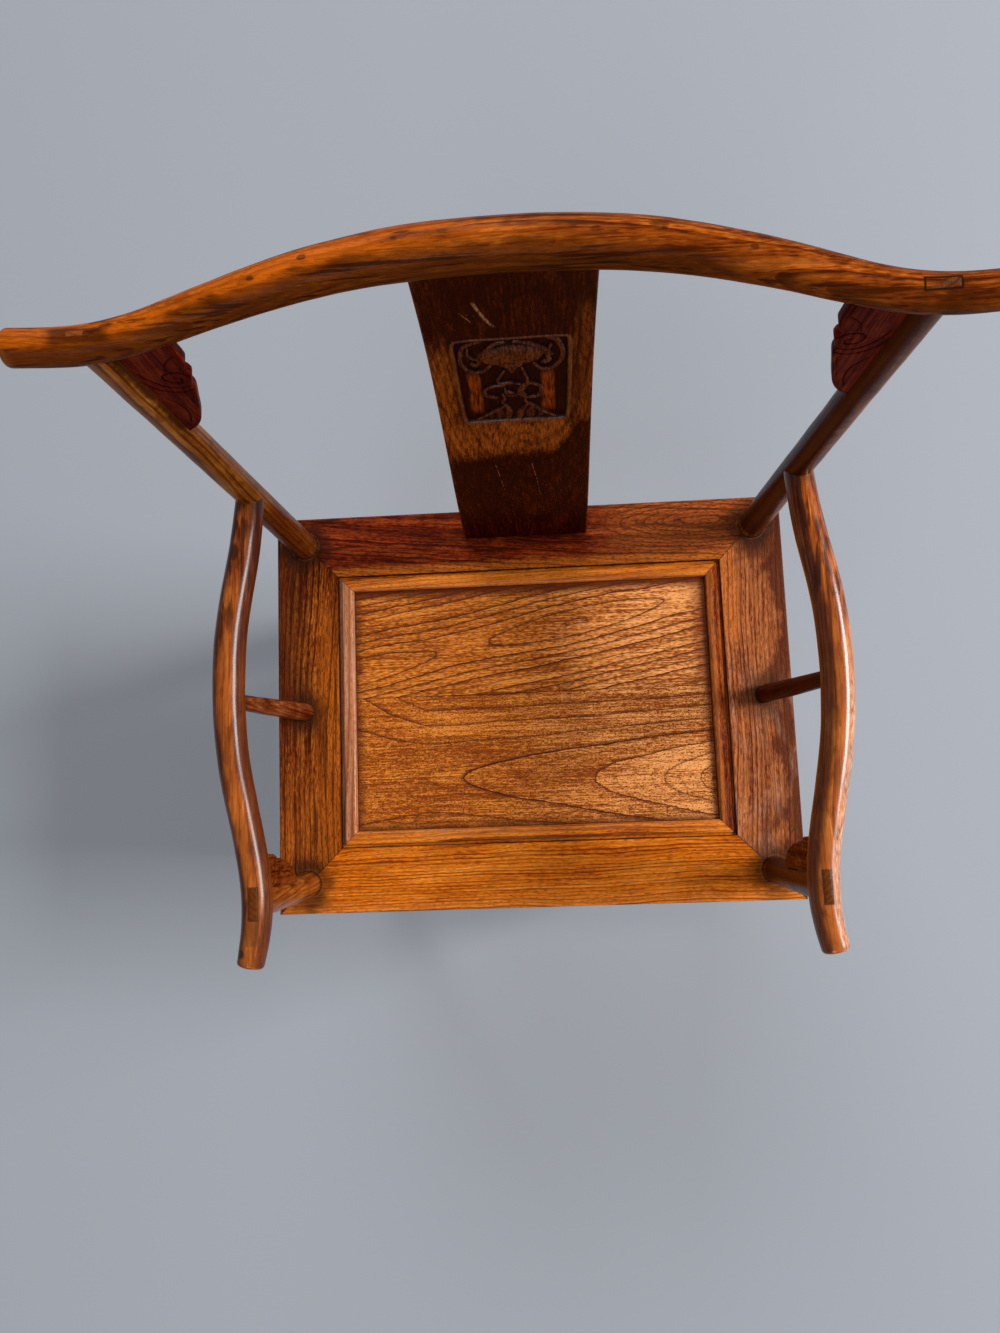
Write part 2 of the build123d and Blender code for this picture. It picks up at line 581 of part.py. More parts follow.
def stretchers():
    """Footrest in front, side stretchers above it and the rear one highest."""
    foot_x, foot_y = leg_axis(FOOTREST_Z, -1)
    footrest = block((0, foot_y, FOOTREST_Z), (2 * foot_x, FOOTREST_DEPTH, FOOTREST_THICKNESS))
    long_edges = footrest.edges().filter_by(Axis.X)
    footrest = fillet(long_edges, radius=FOOTREST_ROUND)
    rear_x, rear_y = leg_axis(REAR_STRETCHER_HEIGHT, 1)
    rear = block((0, rear_y, REAR_STRETCHER_HEIGHT), (2 * rear_x, STRETCHER_DEPTH, STRETCHER_HEIGHT))
    rear = fillet(rear.edges().filter_by(Axis.X), radius=STRETCHER_ROUND)
    side_x, side_y = leg_axis(SIDE_STRETCHER_HEIGHT, 1)
    side = block((side_x, 0, SIDE_STRETCHER_HEIGHT), (STRETCHER_DEPTH, 2 * side_y, STRETCHER_HEIGHT))
    side = fillet(side.edges().filter_by(Axis.Y), radius=STRETCHER_ROUND)
    right_legs = leg_envelope(1, ROUND_FIT) + leg_envelope(-1, ROUND_FIT)
    right = cope(side, side_tenon(), right_legs)
    return {"footrest": cope(footrest, footrest_tenon(), legs_pair(-1)),
            "rear_stretcher": cope(rear, rear_tenon(), legs_pair(1)),
            "right_stretcher": right, "left_stretcher": mirrored(right)}


# ---- aprons ----------------------------------------------------------------
def sheet(corners, thickness):
    """Upright sheet in the XZ plane from an outline of x and height."""
    points = [(x, 0, z) for x, z in corners]
    outline = make_face(Polyline(*points, close=True))
    return extrude(outline, amount=thickness / 2, both=True, dir=(0, 1, 0))


def in_leg_plane(piece, side):
    """Lean an upright sheet into the plane of the front or rear legs."""
    lean = degrees(atan2(SPLAY_Y, FRAME_UNDERSIDE))
    return Pos(0, side * LEG_Y, FRAME_UNDERSIDE) * Rot(X=side * lean) * Pos(0, 0, -FRAME_UNDERSIDE) * piece


def in_side_plane(piece):
    """Turn an upright sheet to the right side and lean it with the legs."""
    lean = degrees(atan2(SPLAY_X, FRAME_UNDERSIDE))
    turned = Rot(Z=90) * Pos(0, 0, -FRAME_UNDERSIDE) * piece
    return Pos(LEG_X, 0, FRAME_UNDERSIDE) * Rot(Y=-lean) * turned


def head_outline(half, tall, cusp):
    """Apron head: straight on top, with a cusp at each end of its lower edge."""
    top = FRAME_UNDERSIDE + GROOVE_RUNOUT
    low = FRAME_UNDERSIDE - tall
    inner = half - APRON_SIDE
    right = [(half + APRON_LAP, top), (half + APRON_LAP, low), (inner, low)]
    for along, up in CUSP_STEPS:
        right.append((inner - along * cusp, low + up * cusp))
    left = [(-x, z) for x, z in reversed(right)]
    return right + left


def side_outline(half, tall, bottom, splay):
    """Upright apron along a leg, from under the head down to a stretcher."""
    low = bottom - APRON_LAP
    high = FRAME_UNDERSIDE - tall
    foot = half + splay
    waist = half - APRON_SIDE_FOOT
    inner = half - APRON_SIDE
    return [(half + APRON_LAP, high), (foot + APRON_LAP, low), (foot - APRON_SIDE_FOOT, low),
            (waist, high - APRON_WAIST_DROP), (inner, high - APRON_SHOULDER_DROP), (inner, high)]


def below(piece, height):
    """Keep what is under a level plane."""
    return split(piece, bisect_by=Plane(origin=(0, 0, height), z_dir=(0, 0, 1)), keep=Keep.BOTTOM)


def above(piece, height):
    """Keep what is above a level plane."""
    return split(piece, bisect_by=Plane(origin=(0, 0, height), z_dir=(0, 0, 1)), keep=Keep.TOP)


def tongued(corners, lean, legs, cores):
    """Apron from its outline, coped to the legs, with a tongue in their grooves."""
    body = lean(sheet(corners, APRON_THICKNESS)) - legs
    tongue = lean(sheet(corners, APRON_TONGUE)) - cores
    return body + tongue


def largest(piece):
    """The one solid that matters, without the chips beyond the legs."""
    return sorted(piece.solids(), key=lambda solid: solid.volume)[-1]


def long_aprons():
    """Aprons between the front legs, the rear legs, and under the footrest."""
    def lean_front(piece):
        return in_leg_plane(piece, -1)

    def lean_rear(piece):
        return in_leg_plane(piece, 1)
    fronts = legs_pair(-1)
    rears = legs_pair(1)
    front_cores = legs_pair_core(-1)
    rear_cores = legs_pair_core(1)
    head = tongued(head_outline(LEG_X, APRON_HEAD, APRON_CUSP), lean_front, fronts, front_cores)
    rear = tongued(head_outline(LEG_X, REAR_APRON_HEAD, REAR_APRON_CUSP), lean_rear, rears, rear_cores)
    side = tongued(side_outline(LEG_X, APRON_HEAD, FOOTREST_TOP, SPLAY_X), lean_front, fronts, front_cores)
    side = largest(above(side, FOOTREST_TOP))
    foot_top = FOOTREST_TOP - FOOTREST_THICKNESS
    foot_x = leg_axis(foot_top, -1)[0]
    foot_low = foot_top - FOOT_APRON_HEAD
    foot_corners = [(foot_x, foot_top + APRON_LAP), (foot_x, foot_low), (foot_x - APRON_SIDE, foot_low),
                    (foot_x - APRON_SIDE - FOOT_APRON_SLOPE, foot_low + FOOT_APRON_RISE)]
    foot_corners += [(-x, z) for x, z in reversed(foot_corners)]
    foot = lean_front(sheet(foot_corners, APRON_THICKNESS)) - fronts
    foot = below(foot, foot_top)
    return {"front_apron": largest(below(head, FRAME_UNDERSIDE)),
            "rear_apron": largest(below(rear, FRAME_UNDERSIDE)),
            "front_apron_right_side": side, "front_apron_left_side": mirrored(side),
            "footrest_apron": largest(foot)}


def side_aprons():
    """Aprons between the front and rear legs, on both sides."""
    legs = leg_envelope(1, ROUND_FIT) + leg_envelope(-1, ROUND_FIT)
    cores = leg_envelope(1, ROUND_FIT - APRON_TONGUE_DEPTH) + leg_envelope(-1, ROUND_FIT - APRON_TONGUE_DEPTH)
    bottom = SIDE_STRETCHER_HEIGHT + STRETCHER_HEIGHT / 2
    head = tongued(head_outline(LEG_Y, APRON_HEAD, APRON_CUSP), in_side_plane, legs, cores)
    head = largest(below(head, FRAME_UNDERSIDE))
    rear = tongued(side_outline(LEG_Y, APRON_HEAD, bottom, SPLAY_Y), in_side_plane, legs, cores)
    rear = largest(above(rear, bottom))
    front = mirror(rear, about=Plane.XZ)
    return {"right_apron": head, "left_apron": mirrored(head),
            "right_apron_rear_side": rear, "left_apron_rear_side": mirrored(rear),
            "right_apron_front_side": front, "left_apron_front_side": mirrored(front)}


def apron_grooves(side):
    """Grooves in a right leg for the tongues of the aprons that meet it."""
    core = leg_envelope(side, -APRON_TONGUE_DEPTH)
    top = FRAME_UNDERSIDE + GROOVE_RUNOUT
    side_bottom = SIDE_STRETCHER_HEIGHT + STRETCHER_HEIGHT / 2 - GROOVE_RUNOUT
    long_bottom = FOOTREST_TOP if side < 0 else FRAME_UNDERSIDE - REAR_APRON_HEAD
    long_bottom -= GROOVE_RUNOUT
    long_sheet = sheet([(0, top), (0, long_bottom), (LEG_X, long_bottom), (LEG_X, top)], APRON_TONGUE)
    side_sheet = sheet([(0, top), (0, side_bottom), (LEG_Y, side_bottom), (LEG_Y, top)], APRON_TONGUE)
    if side < 0:
        side_sheet = mirrored(side_sheet)
    return below(in_leg_plane(long_sheet, side) + in_side_plane(side_sheet), FRAME_UNDERSIDE) - core


# ---- legs, which run on through the seat as stiles and front posts ----------
def rear_legs():
    """Rear legs, one piece each from the floor to the crest rail."""
    stile = cope(stile_envelope(), crest_tenon(), crest_envelope(ROUND_FIT))
    leg = leg_envelope(1) + largest(stile)
    leg = leg - arm_rear_tenon() - side_tenon() - rear_tenon() - apron_grooves(1)
    leg -= crest_spandrel_tongue()
    return {"right_rear_leg": leg, "left_rear_leg": mirrored(leg)}


def front_legs():
    """Front legs, one piece each from the floor to the arm."""
    post = cope(post_envelope(), arm_tenon(), arm_envelope(ROUND_FIT))
    leg = leg_envelope(-1) + largest(post)
    leg = leg - side_tenon() - footrest_tenon() - apron_grooves(-1)
    leg -= arm_spandrel_tongue()
    return {"right_front_leg": leg, "left_front_leg": mirrored(leg)}


# ---- carved spandrels ------------------------------------------------------
def crest_spandrel_sheet(thickness):
    """Right spandrel's outline as a sheet in the plane of the stile."""
    corner = (CREST_END_X, CREST_Z)
    edge = [(corner[0] - along, CREST_END_Y, corner[1] - down) for along, down in CREST_SPANDREL]
    start = (corner[0], CREST_END_Y, corner[1])
    end = (corner[0], CREST_END_Y, edge[-1][2])
    outline = make_face(Polyline(end, start, edge[0]) + Spline(*edge) + Line(edge[-1], end))
    return extrude(outline, amount=thickness / 2, both=True, dir=(0, 1, 0))


def crest_spandrel_tongue():
    """Tongue of the right crest spandrel in the side of the stile."""
    core = stile_envelope(-SPANDREL_TONGUE_DEPTH)
    return crest_spandrel_sheet(SPANDREL_TONGUE) & (stile_envelope(ROUND_FIT + SPANDREL_LAP) - core)


def arm_spandrel_sheet(thickness):
    """Right arm spandrel's outline as a sheet along the arm, behind the post."""
    x = POST_TOP_X + ARM_SPANDREL_OUT
    edge = [(x, POST_TOP_Y + along, ARM_FRONT_Z - down) for along, down in ARM_SPANDREL]
    start = (x, POST_TOP_Y, ARM_FRONT_Z)
    end = (x, POST_TOP_Y, edge[-1][2])
    outline = make_face(Polyline(end, start, edge[0]) + Spline(*edge) + Line(edge[-1], end))
    return extrude(outline, amount=thickness / 2, both=True, dir=(1, 0, 0))


def arm_spandrel_tongue():
    """Tongue of the right arm spandrel in the back of the front post."""
    core = post_envelope(-SPANDREL_TONGUE_DEPTH)
    return arm_spandrel_sheet(SPANDREL_TONGUE) & (post_envelope(ROUND_FIT + SPANDREL_LAP) - core)


def spandrels():
    """Carved cloud spandrels under the crest rail and under the arms."""
    crest = crest_envelope(ROUND_FIT)
    crest_one = crest_spandrel_sheet(SPANDREL_THICKNESS) - stile_envelope(ROUND_FIT) - crest
    crest_one = largest(crest_one) + (crest_spandrel_tongue() - crest)
    crest_one = largest(crest_one - crest_mortise())
    arm = arm_envelope(ROUND_FIT)
    arm_one = arm_spandrel_sheet(SPANDREL_THICKNESS) - post_envelope(ROUND_FIT) - arm
    arm_one = largest(arm_one) + (arm_spandrel_tongue() - arm)
    arm_one = largest(arm_one - arm_mortise())
    return {"right_crest_spandrel": crest_one, "left_crest_spandrel": mirrored(crest_one),
            "right_arm_spandrel": arm_one, "left_arm_spandrel": mirrored(arm_one)}


# ---- crest, arms, side posts and splat -------------------------------------
def crest_rail():
    """Crest rail with open mortises for the stiles and a groove for the splat."""
    rail = crest_envelope()
    ends = rail.edges().sort_by(Axis.X)
    rail = fillet([ends[0], ends[-1]], radius=TIP_ROUND)
    rail = rail - crest_mortise() - mirrored(crest_mortise()) - splat_head_tongue()
    return {"crest_rail": rail}


def arms():
    """Right and left arms, tenoned in the stiles and standing on the posts."""
    arm = arm_envelope()
    tip = arm.edges().sort_by(Axis.Y)[0]
    arm = fillet(tip, radius=TIP_ROUND)
    arm = largest(cope(arm, arm_rear_tenon(), stile_envelope(ROUND_FIT)))
    arm = arm - arm_mortise() - side_post_top_socket()
    return {"right_arm": arm, "left_arm": mirrored(arm)}


def side_post_stations():
    """Axis of the right side post, which leans out to meet the bowed arm."""
    foot_x = SEAT_WIDTH / 2 - SIDE_POST_INSET
    top_z = (ARM_REAR_Z + ARM_FRONT_Z) / 2
    mid_radius = (SIDE_POST_SEAT_RADIUS + SIDE_POST_TOP_RADIUS) / 2
    return [(foot_x, SIDE_POST_Y, SEAT_HEIGHT - ARRIS, SIDE_POST_SEAT_RADIUS),
            (foot_x + SIDE_POST_MID_LEAN, SIDE_POST_Y - SIDE_POST_LEAN_Y / 2, (SEAT_HEIGHT + top_z) / 2,
             mid_radius),
            (foot_x + SIDE_POST_LEAN, SIDE_POST_Y - SIDE_POST_LEAN_Y, top_z, SIDE_POST_TOP_RADIUS)]


def side_post_top_peg(grow=0.0):
    """Round tenon of the right side post in the underside of the arm."""
    x, y, z, radius = side_post_stations()[-1]
    return Pos(x, y, z - SIDE_POST_PEG / 2) * Cylinder(SIDE_POST_PEG_RADIUS + grow, SIDE_POST_PEG)


def side_post_top_socket():
    """Blind hole in the underside of the right arm."""
    return side_post_top_peg(ROUND_FIT)


def side_posts():
    """Tapered posts that carry the middle of each arm."""
    x, y, z, radius = side_post_stations()[0]
    body = above(round_bar(side_post_stations(), (1, 0, 0)), SEAT_HEIGHT) - arm_envelope(ROUND_FIT)
    foot = Pos(x, y, SEAT_HEIGHT) * Cylinder(SIDE_POST_TENON_RADIUS, 2 * SIDE_POST_TENON)
    post = largest(body) + foot + side_post_top_peg()
    return {"right_side_post": post, "left_side_post": mirrored(post)}


def back_splat():
    """Bent, tapering back splat with a sunk field for the carved medallion."""
    body = splat_slab(0, SPLAT_THICKNESS) & splat_outline(0, CREST_HEIGHT + CREST_RISE)
    body = largest(body - crest_envelope(ROUND_FIT))
    window = box((-MEDALLION_WIDTH / 2, 0, SEAT_HEIGHT + MEDALLION_BOTTOM),
                 (MEDALLION_WIDTH / 2, SEAT_DEPTH, SEAT_HEIGHT + MEDALLION_TOP))
    field = splat_slab(-MEDALLION_SINK, MEDALLION_SINK) & window
    return {"back_splat": body - field + splat_foot_tongue() + splat_head_tongue()}


def chair():
    """All the chair's pieces by name, about the middle of the seat."""
    pieces = {}
    for group in (frame_rails, bead_strips, seat_boards, battens, rear_legs, front_legs, stretchers,
                  long_aprons, side_aprons, crest_rail, arms, side_posts, back_splat, spandrels):
        pieces.update(group())
    return pieces


def export(pieces):
    """Write each piece to its own file, with the origin under the box's middle."""
    whole = Compound(children=[Compound(piece.wrapped) for piece in pieces.values()]).bounding_box()
    shift = Pos(0, -(whole.min.Y + whole.max.Y) / 2, 0)
    os.makedirs("parts", exist_ok=True)
    for name, piece in pieces.items():
        export_step(shift * piece, f"parts/{name}.step")
    print("pieces", len(pieces), "box", whole.size, "shift in Y", shift.position.Y)


export(chair())
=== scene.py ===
import math

import bpy
import numpy as np
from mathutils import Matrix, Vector, noise


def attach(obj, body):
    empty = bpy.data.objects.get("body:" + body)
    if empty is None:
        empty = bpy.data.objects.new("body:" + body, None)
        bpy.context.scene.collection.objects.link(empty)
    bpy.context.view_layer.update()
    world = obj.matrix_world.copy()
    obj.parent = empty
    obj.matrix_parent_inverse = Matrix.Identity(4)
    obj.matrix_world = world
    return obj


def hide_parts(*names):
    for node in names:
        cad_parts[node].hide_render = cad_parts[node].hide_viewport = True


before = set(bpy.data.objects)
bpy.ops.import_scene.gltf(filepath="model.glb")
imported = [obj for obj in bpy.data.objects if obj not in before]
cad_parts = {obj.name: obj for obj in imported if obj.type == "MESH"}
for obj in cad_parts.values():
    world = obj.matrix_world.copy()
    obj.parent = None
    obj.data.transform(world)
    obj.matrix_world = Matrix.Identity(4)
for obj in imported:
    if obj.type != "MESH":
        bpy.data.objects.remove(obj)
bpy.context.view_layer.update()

# ---- rear legs ----
# Each rear leg and the stile above the seat are one pole of elm, spoke-shaved
# round. It has a shoulder under the seat frame, and a flat tenon through the
# crest rail whose end grain shows on top.
MM = 0.001
SIDES = (("left", -1), ("right", 1))
MIDDLE_Y = 2.55     # the seat's middle, behind the middle of the chair's box
SEAT = 500          # top of the seat frame
SHOULDER = 470      # underside of the seat frame, where the legs step in
LEG = (266, 199.5)  # middle of a leg in the seat frame
STILE_TOP = (259.5, 192.5, 1038)
CREST_TENON, ARM_TENON = (21, 6.5), (29, 8)     # length and thickness
STILE_END = 1044    # above this the tenon's end grain shows on the crest rail
# colours of old dirt, of dirt and painted shade where a post meets the seat, and of an open gap
DIRT, SOOT_AND_SHADE, GAP = (0.03, 0.01, 0.004), (0.018, 0.006, 0.0025), (0.016, 0.006, 0.0025)


def smooth_line(stations, spacing):
    """Points x, y, z, radius, evenly apart on a smooth line through the stations."""
    stations = np.array(stations, float)
    n = len(stations)
    if n == 2:
        knots = np.array([0, np.linalg.norm(stations[1, :3] - stations[0, :3])])
        bends = np.zeros_like(stations)
    else:
        steps = np.linalg.norm(np.diff(stations[:, :3], axis=0), axis=1)
        knots = np.concatenate([[0], np.cumsum(steps)])
        system, pull = np.zeros((n, n)), np.zeros_like(stations)
        system[0, 0] = system[-1, -1] = 1
        for i in range(1, n - 1):
            system[i, i - 1:i + 2] = steps[i - 1], 2 * (steps[i - 1] + steps[i]), steps[i]
            pull[i] = 6 * ((stations[i + 1] - stations[i]) / steps[i]
                           - (stations[i] - stations[i - 1]) / steps[i - 1])
        bends = np.linalg.solve(system, pull)
    count = max(2, int(knots[-1] / spacing) + 1)
    along = np.linspace(0, knots[-1], count)
    span = np.clip(np.searchsorted(knots, along, side="right") - 1, 0, n - 2)
    step = (knots[span + 1] - knots[span])[:, None]
    b = (along - knots[span])[:, None] / step
    a = 1 - b
    return (a * stations[span] + b * stations[span + 1]
            + ((a**3 - a) * bends[span] + (b**3 - b) * bends[span + 1]) * step**2 / 6)


def ease_ends(line, start, end):
    """The same line with its radius drawn in over a rounded arris at either end."""
    length = np.concatenate([[0], np.cumsum(np.linalg.norm(np.diff(line[:, :3], axis=0), axis=1))])
    turns = np.linspace(0, math.pi / 2, 6)
    near = start * (1 - np.cos(turns)) if start else np.array([0])
    far = length[-1] - end * (1 - np.cos(turns))[::-1] if end else np.array([length[-1]])
    body = length[(length > start * 1.4) & (length < length[-1] - end * 1.4)]
    places = np.concatenate([near, body, far])
    eased = np.stack([np.interp(places, length, line[:, k]) for k in range(4)], axis=1)
    if start:
        eased[:6, 3] -= start * (1 - np.sin(turns))
    if end:
        eased[-6:, 3] -= end * (1 - np.sin(turns))[::-1]
    return eased


def rings_round(line, around, uneven):
    """Rings of points round a line, a little out of true as hand tools leave them."""
    tangents = np.gradient(line[:, :3], axis=0)
    rings = []
    for (x, y, z, radius), tangent in zip(line, tangents):
        tangent = Vector(tangent).normalized()
        side = tangent.cross(Vector((0.31, 0.17, 0.05)).cross(tangent)).normalized()
        up = tangent.cross(side)
        ring = []
        for k in range(around):
            turn = 2 * math.pi * k / around
            out = side * math.cos(turn) + up * math.sin(turn)
            place = Vector((x, y, z)) + out * radius
            swell = noise.noise(place / 38) + 0.35 * noise.noise(place / 13)
            ring.append(place + out * uneven * swell)
        rings.append(ring)
    return rings


def tube(rings, around):
    """Faces between rings of points that follow one another."""
    faces = []
    for i in range(rings - 1):
        for k in range(around):
            a, b = i * around + k, i * around + (k + 1) % around
            faces.append((a, b, b + around, a + around))
    return faces


def skin(rings):
    """Points and faces of a bar skinned over its rings and closed at both ends."""
    around = len(rings[0])
    points = [point for ring in rings for point in ring]
    faces = tube(len(rings), around)
    for first, ring, turned in ((0, rings[0], True), (len(points) - around, rings[-1], False)):
        middle = sum(ring, Vector()) / around
        inner = len(points)
        points += [middle + (point - middle) * 0.5 for point in ring] + [middle]
        for k in range(around):
            n = (k + 1) % around
            sector = ((first + k, first + n, inner + n, inner + k), (inner + k, inner + n, inner + around))
            faces += [tuple(reversed(f)) if turned else f for f in sector]
    return points, faces


def tenon_end(middle, along, radius, long, thick, proud):
    """Points and faces of a tenon's end, dressed to the round of the rail it stands in."""
    along = Vector(along).normalized()
    across = Vector((0, 0, 1)).cross(along).normalized()
    up = along.cross(across)
    steps = ((-1, -4), (-1, -0.15), (-0.96, 0), (-0.5, 0), (0, 0), (0.5, 0), (0.96, 0), (1, -0.15), (1, -4))
    points, faces = [], []
    for a, fall_a in steps:
        for b, fall_b in steps:
            aside = b * thick / 2
            rise = math.sqrt(radius**2 - aside**2) + proud + min(fall_a, fall_b)
            points.append(Vector(middle) + along * (a * long / 2) + across * aside + up * rise)
    size = len(steps)
    for i in range(size - 1):
        for k in range(size - 1):
            faces.append((i * size + k, (i + 1) * size + k, (i + 1) * size + k + 1, i * size + k + 1))
    rim = ([k for k in range(size)] + [k * size + size - 1 for k in range(1, size)]
           + [size * size - 1 - k for k in range(1, size)] + [k * size for k in range(size - 2, 0, -1)])
    faces.append(tuple(rim))
    return points, faces


def make_piece(name, node, shells, material, relief=()):
    """One piece of the chair from its shells, standing for its CAD node."""
    points, faces = [], []
    for shell_points, shell_faces in shells:
        faces += [tuple(i + len(points) for i in face) for face in shell_faces]
        points += [(x, y + MIDDLE_Y, max(z, 0)) for x, y, z in shell_points]
    mesh = bpy.data.meshes.new(name)
    mesh.from_pydata([(x * MM, y * MM, z * MM) for x, y, z in points], [], faces)
    mesh.validate()
    mesh.polygons.foreach_set("use_smooth", [True] * len(mesh.polygons))
    mesh.set_sharp_from_angle(angle=math.radians(50))
    mesh.materials.append(material)
    piece = bpy.data.objects.new(name, mesh)
    bpy.context.scene.collection.objects.link(piece)
    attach(piece, "root")
    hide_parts(node)
    if relief:
        mesh.attributes.new("relief", "FLOAT", "POINT").data.foreach_set("value", relief)


def maths(operation, swapped=False):
    """A method of Value that works out one sum."""
    def work(*terms):
        inputs = dict(enumerate(reversed(terms) if swapped else terms))
        return terms[0].finish.node("ShaderNodeMath", {"operation": operation}, inputs)

    return work


class Value:
    """A number on its way through a finish, which takes plain arithmetic."""
    __add__ = __radd__ = maths("ADD")
    __sub__ = maths("SUBTRACT")
    __rsub__ = maths("SUBTRACT", True)
    __mul__ = __rmul__ = maths("MULTIPLY")
    __truediv__ = maths("DIVIDE")
    __pow__ = maths("POWER")
    __abs__ = maths("ABSOLUTE")
    floor = maths("FLOOR")
    cosine = maths("COSINE")
    least = maths("MINIMUM")
    most = maths("MAXIMUM")

    def __init__(self, finish, socket):
        self.finish, self.socket = finish, socket

    def step(self, start, end):
        """Smooth change from 0 at the start to 1 at the end, which may be the lower of the two."""
        return self.finish.node("ShaderNodeMapRange", {"interpolation_type": "SMOOTHSTEP"},
                                {0: self, 1: start, 2: end, 3: 0, 4: 1})


class Finish:
    """A finish for one kind of piece, worked out from the place on the chair in millimetres."""

    def __init__(self, name):
        self.material = bpy.data.materials.new(name)
        self.material.use_nodes = True
        self.tree = self.material.node_tree
        self.tree.nodes.clear()
        place = self.node("ShaderNodeTexCoord", {}, {}, "Object")
        x, y, z = [self.node("ShaderNodeSeparateXYZ", {}, {0: place}, k) * 1000 for k in range(3)]
        self.place = x, y - MIDDLE_Y, z
        turned = self.node("ShaderNodeTexCoord", {}, {}, "Normal")
        self.to_x, self.to_y = [self.node("ShaderNodeSeparateXYZ", {}, {0: turned}, k) for k in range(2)]

    def node(self, kind, settings, inputs, output=0):
        made = self.tree.nodes.new(kind)
        for key, value in settings.items():
            setattr(made, key, value)
        for key, value in inputs.items():
            if isinstance(value, Value):
                self.tree.links.new(value.socket, made.inputs[key])
            else:
                made.inputs[key].default_value = value
        return Value(self, made.outputs[output]) if made.outputs else None

    def cloud(self, x, y, z, detail=0):
        """Soft noise about 0, mostly within a half either way; its size is set by its three terms."""
        where = self.node("ShaderNodeCombineXYZ", {}, {0: x, 1: y, 2: z})
        return self.node("ShaderNodeTexNoise", {}, {"Vector": where, "Scale": 1, "Detail": detail}) - 0.5

    def patch(self, wide, deep, high, detail):
        """Noise with patches of about this width, depth and height in millimetres."""
        x, y, z = self.place
        return self.cloud(x / wide, y / deep, z / high, detail)

    def relief(self):
        """Height of a piece's carving in millimetres, as its mesh keeps it."""
        return self.node("ShaderNodeAttribute", {"attribute_name": "relief"}, {}, "Fac")

    def chance(self, number):
        """A number between 0 and 1 drawn by another number."""
        return self.node("ShaderNodeTexWhiteNoise", {"noise_dimensions": "1D"}, {"W": number})

    def paint(self, under, over, share):
        """One colour laid over another."""
        under, over = [c if isinstance(c, Value) else (*c, 1) for c in (under, over)]
        return self.node("ShaderNodeMix", {"data_type": "RGBA"}, {0: share, 6: under, 7: over}, 2)

    def coats(self, colour, layers):
        """A colour under several others, each laid over those before it."""
        for over, share in layers:
            colour = self.paint(colour, over, share)
        return colour

    def shade(self, woods, tone):
        """Colour between three of one wood: its dark, its middle and its light."""
        dark, middle, light = woods
        return self.paint(self.paint(dark, middle, tone.step(0, 0.55)), light, tone.step(0.45, 1.1))

    def close(self, colour, roughness, height, sheen, coat):
        """Waxed surface with the height of its grain in millimetres."""
        bump = self.node("ShaderNodeBump", {}, {"Height": height, "Distance": MM})
        shader = self.node("ShaderNodeBsdfPrincipled", {}, {
            "Base Color": colour, "Roughness": roughness, "Specular IOR Level": sheen,
            "Coat Weight": coat, "Coat Roughness": 0.2, "Normal": bump})
        self.node("ShaderNodeOutputMaterial", {}, {"Surface": shader})
        return self.material


class Elm:
    """Growth rings, pores and fibres of elm whose length runs along u; coarse tells how open they are."""

    def __init__(self, finish, u, v, w, ring, seed, coarse, reach=None, slope=None):
        cloud = finish.cloud
        if reach is None:
            v = v + cloud(u / 170 + seed, v / 60, w / 60) * 14 + cloud(u / 40, v / 16, w / 16 + seed) * 2.6
            reach = (v * v + w * w) ** 0.5 / ring
        reach = reach + cloud(u / 9, v / 2.5, w / 2.5) * (0.08 if slope is None else slope * 1.2)
        count = reach.floor()
        grown = (reach - count) * ring if slope is None else (reach - count) / slope
        strength = finish.chance(count + seed) * 0.7 + 0.3
        self.early = grown.step(ring * 0.55, 0) * strength
        self.line = grown.step(2.1, 0.7) * grown.step(0, 0.3) * strength
        self.pore = (cloud(u / 5, v / 1.1, w / 1.1) + self.early * 0.12).step(0.06, 0.16) * coarse
        self.fibre = cloud(u / 70, v / 1.3, w / 1.3, 1)
        self.streak = cloud(u / 150 + seed, v / 4.5, w / 4.5, 2)
        self.fleck = cloud(u / 8, v / 1.9, w / 1.9 + seed, 1)
        cast = cloud(u / 80 + seed, v / 22, w / 22, 2)
        ring_tone = finish.chance(count * 1.7 + seed) - 0.5
        self.tone = (cast * 0.9 + self.streak * 1.3 + self.fibre * (0.8 + 1.5 * coarse)
                     + self.fleck * 2.5 * coarse + ring_tone * (0.08 + 0.35 * coarse)
                     - self.early * 0.35 + 0.54)


POLE_LINE = (0.022, 0.004, 0.0006)


def pole_finish(name, run, heart, ring, seed, woods, stains, sheen, coat, coarse=0.12):
    """Waxed round elm: streaks along the pole, dark pores, and the stains of its own place."""
    finish = Finish(name)
    axes = list(finish.place)
    u = axes.pop(run)
    v, w = [axis - middle for axis, middle in zip(axes, heart)]
    elm = Elm(finish, u, v, w, ring, seed, coarse)
    worn = finish.patch(30, 30, 30, 3)
    colour = finish.shade(woods, elm.tone + worn * 0.8)
    colour = finish.coats(colour, stains(finish, *finish.place))
    thread = (elm.fibre * 0.6 + elm.streak).step(0.1, 0.22)
    colour = finish.paint(colour, POLE_LINE, (elm.line * 0.35).most(elm.pore).most(thread * 0.45))
    rough = 0.34 + worn * 0.25 + thread * 0.08
    height = worn * 0.3 - elm.line * 0.04 - elm.pore * 0.3 - thread * 0.04
    return finish.close(colour, rough, height, sheen, coat)


